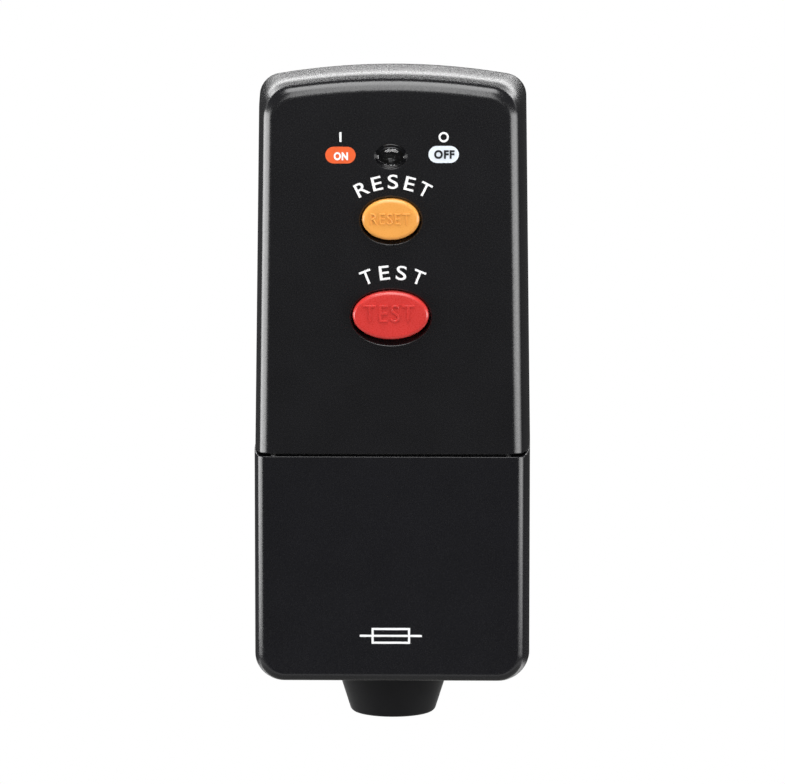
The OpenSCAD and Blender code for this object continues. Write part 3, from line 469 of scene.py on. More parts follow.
def turned(bm, outline, x=0, z=0, axis="Y", steps=48, closed=True):
    """A turned shape from (radius, place along the axis) points, on an axis through (x, z) or (x, y)."""
    rows = []
    for r, along in outline:
        row = []
        for i in range(steps):
            a = 2 * math.pi * i / steps
            u, v = r * math.cos(a), r * math.sin(a)
            row.append((x + u, along, z + v) if axis == "Y" else (x + u, z + v, along))
        rows.append(ring(bm, row))
    if closed:
        loft(bm, rows + rows[:1])
    else:
        capped(bm, rows)


def post(bm, x, z, r, bore, back, front):
    """A round post along Y with a bore and a small chamfer."""
    chamfer = 0.3
    along = chamfer if front < back else -chamfer
    turned(bm, [(bore, back), (r, back), (r, front + along), (r - chamfer, front), (bore + 0.2, front),
                (bore, front + along)], x, z, steps=32)


def groove_tool(s, top):
    """A cylinder that takes out the groove for the guard's neck, up to a height above the foot."""
    tool = bmesh.new()
    ends = [(GROOVE_R, s["foot_z"] - 1), (GROOVE_R, s["foot_z"] + top)]
    turned(tool, ends, 0, s["parting_y"], "Z", 96, closed=False)
    return tool


def screw_points(node):
    """Where the heads of a node's screws lie."""
    head, _, _, way, rows = SCREWS[node]
    low, high = box_mm(node)
    face = high.y if way < 0 else low.y
    return [(x, face, z) for z, xs in zip((low.z + head, high.z - head), rows) for x in xs]


# Pieces


def linked(name, data):
    """A new object in the scene."""
    obj = bpy.data.objects.new(name, data)
    bpy.context.scene.collection.objects.link(obj)
    return obj


def written(bm, name="shape"):
    """A shape as a mesh, in the unit that it has."""
    mesh = bpy.data.meshes.new(name)
    bm.to_mesh(mesh)
    bm.free()
    return mesh


def made_plain(obj, *tools):
    """An object's shape with its modifiers, as a plain mesh; the object and its tools are removed."""
    bpy.context.view_layer.update()
    mesh = bpy.data.meshes.new_from_object(obj.evaluated_get(bpy.context.evaluated_depsgraph_get()))
    obj.modifiers.clear()
    for done in (obj, *tools):
        bpy.data.objects.remove(done)
    return mesh


def place(name, mesh, body, finish, nodes=(), angle=40):
    """Makes a mesh in metres a piece that rides on a body and stands for the named nodes."""
    mesh.name = name
    if finish is not None:
        mesh.materials.clear()
        mesh.materials.append(finish)
    mesh.polygons.foreach_set("use_smooth", [True] * len(mesh.polygons))
    mesh.set_sharp_from_angle(angle=math.radians(angle))
    obj = linked(name, mesh)
    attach(obj, body)
    if nodes:
        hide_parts(*nodes)
    return obj


def to_mesh(bm):
    """A closed shape in millimetres as a mesh in metres, with its faces outwards."""
    bmesh.ops.remove_doubles(bm, verts=bm.verts, dist=0.001)
    bmesh.ops.dissolve_degenerate(bm, dist=0.0005, edges=bm.edges)
    bmesh.ops.recalc_face_normals(bm, faces=bm.faces)
    bmesh.ops.scale(bm, vec=(MM, MM, MM), verts=bm.verts)
    return written(bm)


def settle(bm, name, body, finish, nodes=(), angle=40):
    """Makes a shape in millimetres a piece."""
    place(name, to_mesh(bm), body, finish, nodes, angle)


def cut(mesh, tool_bm):
    """The mesh with a closed tool shape taken out of it."""
    tool, work = linked("tool", to_mesh(tool_bm)), linked("work", mesh)
    modifier = work.modifiers.new("cut", "BOOLEAN")
    modifier.operation = "DIFFERENCE"
    modifier.solver = "EXACT"
    modifier.object = tool
    return made_plain(work, tool)


def joined(*meshes):
    """Several meshes as one."""
    bm = bmesh.new()
    for mesh in meshes:
        bm.from_mesh(mesh)
    return written(bm)


def packed_copy(node, flatten=False):
    """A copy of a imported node's mesh with its corners merged; flatten makes its flats whole."""
    bm = bmesh.new()
    bm.from_mesh(frame["nodes"][node].data)
    bmesh.ops.remove_doubles(bm, verts=bm.verts, dist=MERGE)
    if flatten:
        bmesh.ops.dissolve_limit(bm, angle_limit=math.radians(0.5), verts=bm.verts, edges=bm.edges)
    return written(bm, node)


def stand_in(node, suffix, mesh, finish, angle=40):
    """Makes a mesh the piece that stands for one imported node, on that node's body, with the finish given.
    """
    return place(node + suffix, mesh, frame["nodes"][node]["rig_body"], finish, (node,), angle)


def softened(node, width):
    """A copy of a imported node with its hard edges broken, in its place."""
    obj = stand_in(node, "_soft", packed_copy(node, flatten=True), FINISHES[SLOTS[node]])
    bevel = obj.modifiers.new("edge", "BEVEL")
    bevel.width = width * MM
    bevel.segments = 2
    bevel.limit_method = "ANGLE"
    bevel.angle_limit = math.radians(40)
    bevel.harden_normals = True


# Finishes


def add_node(tree, kind, inputs=None, **settings):
    """Adds a node with its settings, and sets or links its inputs.

    A node that is given as an input stands for its first output, and a list for several links.
    """
    node = tree.nodes.new(kind)
    for key, value in settings.items():
        setattr(node, key, value)
    for key, value in (inputs or {}).items():
        socket = node.inputs[key]
        for source in value if isinstance(value, list) else [value]:
            if isinstance(source, bpy.types.Node):
                source = source.outputs[0]
            if isinstance(source, bpy.types.NodeSocket):
                tree.links.new(source, socket)
            elif socket.type == "RGBA" and len(source) == 3:
                socket.default_value = (*source, 1)
            else:
                socket.default_value = source
    return node


def bare_tree(owner):
    """The owner's node tree, emptied."""
    owner.use_nodes = True
    owner.node_tree.nodes.clear()
    return owner.node_tree


def finish(name, base, shades, rough, grain, depth, patch=9.0, stretch=(1, 1, 1), spread=0.06, **shader):
    """A surface with patches between two shades of its colour, a fine grain in relief and an uneven gloss.

    grain and patch are sizes in mm, depth is the grain's relief in mm.
    """
    material = bpy.data.materials.new(name)
    tree = bare_tree(material)
    where = add_node(tree, "ShaderNodeTexCoord")
    spot = add_node(tree, "ShaderNodeMapping", {"Vector": where.outputs["Object"], "Scale": stretch})
    fine = add_node(tree, "ShaderNodeTexNoise",
                    {"Vector": spot, "Scale": 1 / (grain * MM), "Detail": 3.0, "Roughness": 0.6})
    broad = add_node(tree, "ShaderNodeTexNoise", {"Vector": spot, "Scale": 1 / (patch * MM), "Detail": 2.0})
    ramp = add_node(tree, "ShaderNodeValToRGB", {"Fac": broad})
    for element, position, shade in zip(ramp.color_ramp.elements, (NOISE_LOW, NOISE_HIGH), shades):
        element.position = position
        element.color = (*(min(1, c * shade) for c in base), 1)
    gloss = add_node(tree, "ShaderNodeMapRange",
                     {"Value": fine, "From Min": NOISE_LOW, "From Max": NOISE_HIGH,
                      "To Min": max(0.02, rough - spread), "To Max": rough + spread})
    relief = add_node(tree, "ShaderNodeBump", {"Height": fine, "Strength": 1.0, "Distance": depth * MM})
    surface = add_node(tree, "ShaderNodeBsdfPrincipled",
                       {"Base Color": ramp, "Roughness": gloss, "Normal": relief, **shader})
    add_node(tree, "ShaderNodeOutputMaterial", {"Surface": surface})
    return material


DULL = {"Specular IOR Level": 0.2}
DULLER = {"Specular IOR Level": 0.15}
CLEAR = {"Transmission Weight": 1.0, "spread": 0.01}
EVEN = {"spread": 0.03}

# slot, name, colour as hex or as one of the plug's colours, darkest and lightest shade, roughness,
# grain and its relief in mm, patches in mm, IOR, and what else differs
PLASTICS = (
    # black ABS moulded on a spark-eroded tool: a fine sandy grain that breaks up its highlights
    ("case_black", "Spark-eroded ABS", "case", (0.9, 1.1), 0.25, 0.3, 0.008, 9, 1.54, {}),
    # black ABS moulded on a vapour-blasted tool: smoother, with a satin gloss
    ("cover_black", "Satin ABS", "cover", (0.92, 1.08), 0.24, 0.22, 0.003, 9, 1.54, {}),
    # soft black PVC: a dull skin with faint flow marks
    ("guard_black", "Moulded PVC", "guard", (0.88, 1.12), 0.45, 0.35, 0.003, 9, 1.53, DULLER),
    # pigmented ABS from a polished tool: an even colour with a clear soft gloss
    ("reset_amber", "Amber ABS", "reset", (0.96, 1.03), 0.3, 0.25, 0.004, 5, 1.53, {}),
    ("test_red", "Red ABS", "test", (0.95, 1.04), 0.28, 0.25, 0.004, 5, 1.53, {}),
    # moulded acetal: a waxy, slightly blurred gloss
    ("flag_black", "Black acetal", "#121213", (0.9, 1.1), 0.35, 0.2, 0.004, 9, 1.48, {}),
    ("flag_orange", "Orange acetal", "flag", (0.96, 1.04), 0.35, 0.2, 0.004, 9, 1.48, {}),
    # moulded nylon: a soft, rather dull sheen
    ("sleeve_black", "Nylon sleeve", "#141415", (0.9, 1.1), 0.42, 0.3, 0.006, 9, 1.53, {}),
    ("nylon_white", "Natural nylon", "#dcd8cc", (0.94, 1.03), 0.45, 0.3, 0.008, 9, 1.53, {}),
    # nylon with glass fibres: a speckled, dry surface
    ("carriage_grey", "Glass-filled nylon", "#4d4f55", (0.85, 1.15), 0.5, 0.25, 0.012, 1.2, 1.53, {}),
    # pressed urea: hard and even, with a clean gloss
    ("carrier_red", "Red urea", "#9a1f1a", (0.92, 1.06), 0.32, 0.3, 0.006, 9, 1.55, {}),
    # glazed ceramic: off-white under a smooth glaze
    ("ceramic", "Glazed ceramic", "#e9e4d8", (0.95, 1.03), 0.24, 0.5, 0.006, 9, 1.55, {}),
    # green solder mask over copper: a cloudy colour and a lacquered gloss
    ("board_green", "Solder-masked board", "#1c5a34", (0.82, 1.15), 0.3, 0.6, 0.006, 2.5, 1.5, {}),
    # transfer-moulded epoxy: dead black with a fine blasted grain
    ("chip_black", "Moulded epoxy", "#1a1a1a", (0.85, 1.15), 0.55, 0.15, 0.01, 9, 1.55, {}),
    # a moulded capacitor case: plain yellow with a soft gloss
    ("film_yellow", "Yellow capacitor case", "#cda52c", (0.95, 1.05), 0.35, 0.3, 0.006, 9, 1.5, {}),
    # epoxy from dipping: a glossy coat with slow waves
    ("disc_blue", "Dipped epoxy", "#2a4a96", (0.9, 1.08), 0.28, 0.8, 0.02, 9, 1.55, {}),
    # shrunk PVC sleeve: tight and glossy
    ("can_navy", "Shrunk PVC", "#232a4c", (0.92, 1.06), 0.3, 0.6, 0.006, 9, 1.53, {}),
    # lacquer over a ceramic rod: slightly lumpy
    ("resistor_tan", "Lacquered resistor", "#c9b58a", (0.92, 1.05), 0.36, 0.4, 0.01, 9, 1.5, {}),
    # extruded PVC insulation: a dull even sheen
    ("lead_brown", "Brown PVC lead", "#6b3d20", (0.92, 1.06), 0.42, 0.4, 0.01, 9, 1.53, {}),
    ("lead_blue", "Blue PVC lead", "#2f57a8", (0.92, 1.06), 0.42, 0.4, 0.01, 9, 1.53, {}),
    ("lead_green", "Green PVC lead", "#5f9a2c", (0.92, 1.06), 0.42, 0.4, 0.01, 9, 1.53, {}),
    # screen-printed ink: flat colour, nearly without gloss
    ("ink", "Screen ink", "ink", (0.97, 1.0), 0.5, 0.12, 0.004, 1.5, 1.5, DULL),
    ("on_mark", "Orange screen ink", "on_mark", (0.97, 1.03), 0.5, 0.12, 0.004, 1.5, 1.5, DULL),
    ("off_mark", "White screen ink", "off_mark", (0.97, 1.0), 0.5, 0.12, 0.004, 1.5, 1.5, DULL),
    ("dark_ink", "Black screen ink", "#202226", (0.95, 1.05), 0.5, 0.12, 0.004, 1.5, 1.5, DULL),
    # polished black ABS: a clear reflection on its rounded edge
    ("bezel", "Polished ABS", "#0e0e10", (0.9, 1.1), 0.12, 0.3, 0.0005, 9, 1.54, EVEN),
    # clear polycarbonate: the flag shows through, with faint moulding waves
    ("lens_clear", "Clear polycarbonate", "#f7f9fa", (0.99, 1.0), 0.03, 4, 0.00005, 9, 1.585, CLEAR),
)

# slot, name, colour of the reflection, roughness, grain in mm, stretch of the grain
METALS = (
    # drawn brass: fine marks along its length
    ("brass", "Drawn brass", "#d8b46a", 0.26, 0.4, (1, 0.08, 1)),
    # copper wire under clear enamel: warm, with a soft gloss
    ("copper", "Enamelled copper", "#c8743f", 0.3, 0.3, (1, 1, 1)),
    # zinc plate on steel: a cool, slightly tumbled shine
    ("steel", "Zinc-plated steel", "#c9cbd0", 0.28, 0.5, (1, 1, 1)),
    # ground soft iron: grey and rather dull
    ("soft_iron", "Soft iron", "#8f9094", 0.42, 0.4, (1, 1, 1)),
    # nickel plate: a warm, bright shine
    ("nickel", "Nickel plate", "#d6d2c8", 0.22, 0.6, (1, 1, 1)),
)
FINISHES = {}


def make_finishes(colours):
    """Every finish of the object, by its material slot."""
    for slot, name, base, shades, rough, grain, depth, patch, ior, more in PLASTICS:
        base = linear(base) if base.startswith("#") else getattr(colours, base)
        FINISHES[slot] = finish(name, base, shades, rough, grain, depth, patch, IOR=ior, **more)
    for slot, name, base, rough, grain, stretch in METALS:
        FINISHES[slot] = finish(name, linear(base), (0.9, 1.06), rough, grain, 0.0015, 4, stretch, 0.08,
                                Metallic=1.0)


class PLUG_OT_finishes(bpy.types.Operator):
    """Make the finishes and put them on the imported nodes"""

    bl_idname = "plug.finishes"
    bl_label = "Finishes"

    def execute(self, context):
        make_finishes(context.scene.plug_colours)
        for name, slot in SLOTS.items():
            node = frame["nodes"][name]
            node.data.materials.clear()
            node.data.materials.append(FINISHES[slot])
        return {"FINISHED"}


def button_sizes(node):
    """A button's middle height, the half sizes of its hole, and the rise and half sizes of its head.

    The head sits high in its hole, so a dark crescent shows below it.
    """
    low, high = box_mm(node)
    slack = BUTTONS[node][-1]
    a, b = (high.x - low.x) / 2 - BUTTON_LIP, (high.z - low.z) / 2 - BUTTON_LIP
    return (low.z + high.z) / 2, a, b, slack, a - 0.17, b - slack


class PLUG_OT_front_case(bpy.types.Operator):
    """Mould the front case, with its button holes, window and spigot"""

    bl_idname = "plug.front_case"
    bl_label = "Front case"

    def execute(self, context):
        s = body_sizes(context)
        end_z = s["seam_z"] + s["seam_gap"] / 2
        ends = (end_z + s["seam_round"], end_z + s["seam_round"] + SUPPORT)

        def outline(share):
            """The case's outline, with wider corners towards the front edge."""
            return upper_chain(s, ends, s["top_corner_r"] + (s["top_front_r"] - s["top_corner_r"]) * share)

        inner = s["face_y"] + s["wall"]
        mouth, mouth_rim, throat, window_slack, window_rim = 0.2, 0.3, 0.14, 0.05, 0.12
        holes = []
        for node in BUTTONS:
            z, a, b, up, head_a, head_b = button_sizes(node)
            loops = oval_hole(z, a + mouth, b + mouth, s["face_y"], inner, mouth_rim)
            # the hole narrows towards the head, and its black slope hides the lip behind the wall
            loops[-1:] = [oval(0, z + up, head_a + throat, head_b + throat, y) for y in (inner - 0.4, inner)]
            holes.append(loops)
        low, high = box_mm("indicator_lens")
        a, b = (half + window_slack for half in WINDOW)
        holes.append(oval_hole((low.z + high.z) / 2, a, b, s["face_y"], inner, window_rim))
        bm = bmesh.new()
        front_shell(bm, s, outline, s["front_round"], s["front_draft"], 1, end_z, holes)
        # the spigot that stands inside the cover, with a slot for each lead
        back = s["parting_y"] - s["parting_gap"]
        inset = s["wall"] + 0.3
        side = s["body_w"] / 2 - inset
        half = [(side, back)]
        for i in range(7):
            a = math.radians(90 * i / 6)
            half.append((side - s["cover_draft"] - s["cover_round"] * (1 - math.cos(a)),
                         s["face_y"] + inset + s["cover_round"] * (1 - math.sin(a))))
        slot_out, slot_in, slot_y = 16.6, 12.0, back - 4.9
        loop = [(slot_in, back), (slot_in, slot_y), (slot_out, slot_y), (slot_out, back)] + half
        loop = loop + [(-x, y) for x, y in reversed(loop)]
        capped(bm, [ring(bm, [(x * k, y, z) for x, y in loop])
                    for z, k in ((end_z + 1, 1), (end_z - 1.7, 1), (end_z - 2, 0.988))])
        settle(bm, "front_shell", "body", FINISHES["case_black"], ("front_case",))
        return {"FINISHED"}


class PLUG_OT_terminal_cover(bpy.types.Operator):
    """Mould the terminal cover, with its screw posts"""

    bl_idname = "plug.terminal_cover"
    bl_label = "Terminal cover"

    def execute(self, context):
        s = body_sizes(context)
        end_z = s["seam_z"] - s["seam_gap"] / 2
        ends = (end_z - s["seam_round"], end_z - s["seam_round"] - SUPPORT)

        def outline(share):
            """The cover's outline, with wider corners towards the front edge."""
            return lower_chain(s, ends, s["foot_corner_r"] + (s["foot_front_r"] - s["foot_corner_r"]) * share)

        bm = bmesh.new()
        front_shell(bm, s, outline, s["cover_round"], s["cover_draft"], -1, end_z, [])
        shell = cut(to_mesh(bm), groove_tool(s, 6))
        posts = bmesh.new()
        root, end = s["face_y"] + s["wall"] - 0.3, s["parting_y"] - s["parting_gap"]
        for x, _, z in screw_points("cover_screws"):
            post(posts, x, z, POST_R, 1.5, root, end)
        place("cover_shell", joined(shell, to_mesh(posts)), "cover", FINISHES["cover_black"],
              ("terminal_cover",))
        return {"FINISHED"}


class PLUG_OT_rear_case(bpy.types.Operator):
    """Mould the rear case, with the plug face, its openings and the seats inside"""

    bl_idname = "plug.rear_case"
    bl_label = "Rear case"

    def execute(self, context):
        s = body_sizes(context)
        seam, floor = s["seam_z"], -s["floor"]
        loop = lower_chain(s, (seam,), s["foot_corner_r"])[1:-1] + upper_chain(s, (seam,), s["top_corner_r"])
        levels = profile(s["parting_y"], 0, s["parting_round"], s["rear_draft"], s["rear_round"])
        inner = inner_profile(levels[:-1], s["wall"], s["floor"], s["rear_draft"] + 0.3)
        bm = bmesh.new()
        walls = []
        for rows in (levels, inner):
            loops = [[(x, y, z) for x, z in (drawn_in(p, inset) for p in loop)] for y, inset, *_ in rows]
            walls.append([ring(bm, points) for points in loops])
            loft(bm, walls[-1])
        outer_rows, inner_rows = walls
        bridge(bm, outer_rows[0], inner_rows[0])
        # tight inner corners run together in one point
        bmesh.ops.remove_doubles(bm, verts=[v for row in inner_rows for v in row], dist=1e-4)
        inner_edge = [v for v in inner_rows[-1] if v.is_valid]
        rim = 0.2
        rim_steps = ((rim + SUPPORT, 0), (rim, 0), (rim * 0.3, -rim * 0.3), (0, -rim))
        holes = []

        def slot(x, z, w, h, ledge=0, ledge_y=0):
            """An opening in the plug face, narrowed inside by a ledge at its top and its foot."""
            corner = 0.5
            loops = [rounded_box_loop(x, z, w + 2 * g, h + 2 * g, corner + g, y) for g, y in rim_steps]
            if ledge:
                loops += [rounded_box_loop(x, z, w, tall, corner, ledge_y) for tall in (h, h - 2 * ledge)]
            loops.append(rounded_box_loop(x, z, w, h - 2 * ledge, corner, floor))
            holes.append(loops)

        for x in (PIN_PLACE, -PIN_PLACE):
            slot(x, -PIN_PLACE, *(side + PIN_SLACK for side in LINE_PIN))
        slot(0, PIN_PLACE, *(side + PIN_SLACK for side in EARTH_PIN))
        low, high = box_mm("fuse_carrier")
        ledge, slot_w, slot_low, slot_high = 1.6, 9.8, low.z - 0.15, high.z + 0.15
        slot(0, (slot_low + slot_high) / 2, slot_w, slot_high - slot_low, ledge, floor + 0.25)
        # each screw's well for its head, its bore, and the post round that
        well_r, well_y, bore, root_r, root_y = 3, -3.5, 1.7, 3.6, -5.7
        turn = [(well_r + g, y) for g, y in rim_steps]
        turn += [(well_r, well_y), (bore, well_y), (bore, s["parting_y"]), (POST_R, s["parting_y"]),
                 (POST_R, root_y), (root_r, root_y), (root_r, floor)]
        for x, _, z in screw_points("case_screws") + screw_points("cover_screws"):
            holes.append([oval(x, z, r, r, y, 36) for r, y in turn])
        on_face, on_inner = add_holes(bm, holes)
        fill(bm, [outer_rows[-1]] + on_face, (0, 1, 0))
        fill(bm, [inner_edge] + on_inner, (0, -1, 0))
        shell = cut(to_mesh(bm), groove_tool(s, 2.9))
        seats = bmesh.new()
        inside, seat_y, grip_y, board_y = floor + 0.4, -8, -9.8, -12
        half = s["body_w"] / 2 - s["wall"]
        grip_z = s["foot_z"] + GRIP_RISE
        # the wall at the seam, the seats of the terminals and the cord grip, the fuse's cheeks and ledges
        block(seats, (-half, floor - 6.5, seam - 0.9), (half, inside, seam + 0.9), 0.25)
        for x in SCREWS["terminal_screws"][-1][0]:
            block(seats, (x - 3.5, seat_y, seam - 15), (x + 3.5, inside, seam - 5), 0.25)
        block(seats, (-5.5, grip_y, grip_z - 3), (5.5, inside, grip_z + 3), 0.3)
        for x in (-5.5, 5.5):
            block(seats, (x - 0.6, seat_y, -23.6), (x + 0.6, inside, -12.6), 0.15)
        for z in (slot_low, slot_high - ledge):
            block(seats, (-4, floor - 1.5, z), (4, floor + 0.25, z + ledge), 0.1)
        # the posts of the cord grip and the board
        for x in SCREWS["cord_grip_screws"][-1][0]:
            post(seats, x, grip_z, 3, 1.5, inside, REAR_LOW.y)
        for x, z in ((-6, 24.8), (6, 24.8), (-8.5, -28.7), (8.5, -28.7)):
            post(seats, x, z, 2.2, 1.05, inside, board_y)
        place("rear_shell", joined(shell, to_mesh(seats)), "body", FINISHES["case_black"],
              ("rear_case",))
        return {"FINISHED"}


class PLUG_OT_flex_guard(bpy.types.Operator):
    """Mould the tapered guard that the flex comes out of"""

    bl_idname = "plug.flex_guard"
    bl_label = "Flex guard"

    def execute(self, context):
        s = body_sizes(context)
        foot, end, root, tip = s["foot_z"], GUARD_LOW.z, GUARD_ROOT, 8.1
        mouth, tip_round = 0.6, 1.1
        neck, neck_top, flange_top, flange_edge = root - 1.8, foot + 3, foot + 4.8, 0.2
        outline = [(FLEX_R, end + 0.8)]
        outline += [(FLEX_R + mouth * (1 - math.cos(a)), end + mouth * (1 - math.sin(a)))
                    for a in (math.radians(30 * i) for i in range(4))]
        lean = math.atan2(root - tip, foot - 0.05 - end - 0.9)
        cx, cz = tip - tip_round * math.cos(lean) + 0.05, end + tip_round
        for i in range(9):
            a = math.radians(-90) + (math.pi / 2 - lean) * i / 8
            outline.append((cx + tip_round * math.cos(a), cz + tip_round * math.sin(a)))
        # the lip under the body, the neck in the groove and the flange inside
        outline += [(root - 0.25, foot - 0.45), (root - 0.07, foot - 0.15), (root - 0.25, foot - 0.05),
                    (neck, foot - 0.05), (neck, neck_top), (root - flange_edge, neck_top),
                    (root, neck_top + flange_edge), (root, flange_top - flange_edge),
                    (root - flange_edge, flange_top), (FLEX_R + 0.3, flange_top), (FLEX_R, flange_top - 0.3)]
        bm = bmesh.new()
        turned(bm, outline, 0, s["parting_y"], "Z", 96)
        settle(bm, "guard_skin", "body", FINISHES["guard_black"], ("flex_guard",))
        return {"FINISHED"}


class PLUG_OT_window(bpy.types.Operator):
    """Mould the clear window over the indicator flag"""

    bl_idname = "plug.window"
    bl_label = "Window"

    def execute(self, context):
        s = body_sizes(context)
        low, high = box_mm("indicator_lens")
        z = (low.z + high.z) / 2
        face, inner = s["face_y"], s["face_y"] + s["wall"]
        a, b = WINDOW
        dome_a, dome_b, drop, flange = 2.38, 1.55, 0.15, 0.8
        # the black bezel that fills the hole round the window, with a thin round ridge along each edge
        back, ridge_y, rim = face + 1.6, face + 0.15, 0.28
        rows = [(a, b, back, 0)]
        rows += edge_rows(a, b, ridge_y, 0.13, 180, 8, 0)
        rows += edge_rows(dome_a + rim, dome_b + rim, ridge_y, 0.12, 180, 8, -drop)
        rows.append((dome_a + 0.04, dome_b + 0.04, back, -drop))
        bm = bmesh.new()
        rows = oval_rows(bm, z, rows)
        loft(bm, rows + rows[:1])
        settle(bm, "window_bezel", "body", FINISHES["bezel"], angle=60)
        # the window itself, with a domed front and a flange behind the wall
        edge, crown, dome_y = 0.2, 0.16, face + 0.2
        rows = [(a + flange, b + flange, inner + 0.75, 0), (a + flange, b + flange, inner + 0.05, 0),
                (dome_a, dome_b, inner + 0.05, -drop)]
        rows += edge_rows(dome_a, dome_b, dome_y, edge, 80, 8, -drop)
        rows += dome_rows(dome_a - edge, dome_b - edge, dome_y - edge, crown, -drop)
        bm = bmesh.new()
        capped(bm, oval_rows(bm, z, rows))
        settle(bm, "window_lens", "body", FINISHES["lens_clear"], ("indicator_lens",))
        return {"FINISHED"}


class PLUG_OT_buttons(bpy.types.Operator):
    """Mould the reset and test buttons"""

    bl_idname = "plug.buttons"
    bl_label = "Buttons"

    def execute(self, context):
        for node, (body, slot, word, size, wide, aside, raise_by, _) in BUTTONS.items():
            low, high = box_mm(node)
            z, a, b, up, head_a, head_b = button_sizes(node)
            head, edge, dish, stem = low.y, 0.65, 0.06, 2
            lip = (a + BUTTON_LIP, b + BUTTON_LIP)
            rows = [(*lip, LIP_Y + 1.2, 0), (*lip, LIP_Y, 0), (head_a, head_b, LIP_Y, up)]
            rows += edge_rows(head_a, head_b, head + edge, edge, 90, 10, up)
            rows += dome_rows(head_a - edge, head_b - edge, head, -dish, up)
            bm = bmesh.new()
            capped(bm, oval_rows(bm, z, rows))
            outline = [(stem, LIP_Y + 1.1), (stem, high.y - 0.3), (stem - 0.3, high.y)]
            turned(bm, outline, 0, z, steps=32, closed=False)
            button = to_mesh(bm)
            word_z = z + up + raise_by - size * 0.34
            raised = word_mesh(word, size, aside, word_z, head + 0.03, 0.24, -0.08, wide, 0.09, 1.12)
            place(body + "_cap", joined(button, raised), body, FINISHES[slot], (node,))
        return {"FINISHED"}


# Signs


def word_mesh(text, size, x, z, y, thick, weight, wide=1, soft=0, spacing=1):
    """A word as a thin solid on the plane at y, facing the front; size is its type size in mm."""
    curve = bpy.data.curves.new("word", "FONT")
    curve.body = text
    curve.size = size
    curve.align_x = "CENTER"
    curve.space_character = spacing
    curve.extrude = thick / 2
    curve.offset = weight
    curve.bevel_depth = soft
    curve.bevel_resolution = 1
    curve.resolution_u = 6
    mesh = made_plain(linked("word", curve))
    turn = Matrix.Rotation(math.pi / 2, 4, "X") @ Matrix.Diagonal((wide, 1, 1, 1))
    mesh.transform(Matrix.Scale(MM, 4) @ Matrix.Translation((x, y, z)) @ turn)
    return mesh


LETTER_WIDTHS = {"R": 1.15, "E": 1.22, "S": 1.28, "T": 1.0}


def arched_word(text, size, x, z, radius, step, y):
    """A word whose letters stand round an arch with its top at (x, z)."""
    letters = []
    for i, letter in enumerate(text):
        a = (i - (len(text) - 1) / 2) * step
        mesh = word_mesh(letter, size, 0, -size * 0.36, 0, PRINT_THICK, 0.03, LETTER_WIDTHS[letter])
        turn = Matrix.Rotation(a, 4, "Y")
        spot = Matrix.Translation(Vector((x + radius * math.sin(a), y, z - radius * (1 - math.cos(a)))) * MM)
        mesh.transform(spot @ turn)
        letters.append(mesh)
    return joined(*letters)


def flat_sign(loops, y):
    """A flat sign, drawn as one loop or as an outer and an inner loop of points (x, z)."""
    bm = bmesh.new()
    levels = (y, y + PRINT_THICK)
    rows = [[ring(bm, [(px, level, pz) for px, pz in loop]) for loop in loops] for level in levels]
    for front, back in zip(*rows):
        bridge(bm, front, back)
    for row in rows:
        if len(loops) == 1:
            bm.faces.new(row[0])
        else:
            bridge(bm, *row)
    return to_mesh(bm)


def capsule(x, z, w, h, steps=16):
    """A loop with round ends."""
    r = h / 2
    out = []
    for cx, start in ((w / 2 - r, -90), (r - w / 2, 90)):
        for i in range(steps + 1):
            a = math.radians(start + 180 * i / steps)
            out.append((x + cx + r * math.cos(a), z + r * math.sin(a)))
    return out


class PLUG_OT_signs(bpy.types.Operator):
    """Print the on and off marks, the button words and the fuse sign"""

    bl_idname = "plug.signs"
    bl_label = "Signs"

    def execute(self, context):
        y = body_sizes(context)["face_y"] - PRINT_PROUD
        on_x, off_x, sign_z, fuse_z = -9.3, 9.75, 20.95, -72.4
        corners = ((-1, -1), (1, -1), (1, 1), (-1, 1))
        bar = [(on_x + u * 0.2, sign_z + v * 0.9) for u, v in corners]
        circle = [[(px, pz) for px, _, pz in oval(off_x, sign_z, r, r, y, 40)] for r in (0.95, 0.58)]
        fuse = [[(u * w, fuse_z + v * h) for u, v in corners] for w, h in ((3.6, 1.5), (3.2, 1.1))]
        line = [(u * 5.8, fuse_z + v * 0.2) for u, v in corners]
        for name, mesh, ink, body in (
                ("print_reset", arched_word("RESET", 3.7, 0.36, 12.75, 12.9, 0.239, y), "ink", "body"),
                ("print_test", arched_word("TEST", 3.75, 0.32, -4.08, 13.1, 0.25, y), "ink", "body"),
                ("on_pill", flat_sign([capsule(on_x, 17.6, 5.6, 3.1)], y), "on_mark", "body"),
                ("off_pill", flat_sign([capsule(off_x, 17.75, 5.6, 3.15)], y), "off_mark", "body"),
                ("on_word", word_mesh("ON", 1.9, -9.2, 16.75, y - 0.04, PRINT_THICK, 0.09, 0.85, 0, 1.1),
                 "ink", "body"),
                ("off_word", word_mesh("OFF", 2.05, 9.85, 17.05, y - 0.04, PRINT_THICK, 0.09, 0.95, 0, 1.15),
                 "dark_ink", "body"),
                ("on_sign", flat_sign([bar], y), "ink", "body"),
                ("off_sign", flat_sign(circle, y), "ink", "body"),
                ("fuse_box", flat_sign(fuse, y), "ink", "cover"),
                ("fuse_line", flat_sign([line], y - 0.005), "ink", "cover")):
            place(name, mesh, body, FINISHES[ink])
        return {"FINISHED"}


# Pins, fuse and wiring


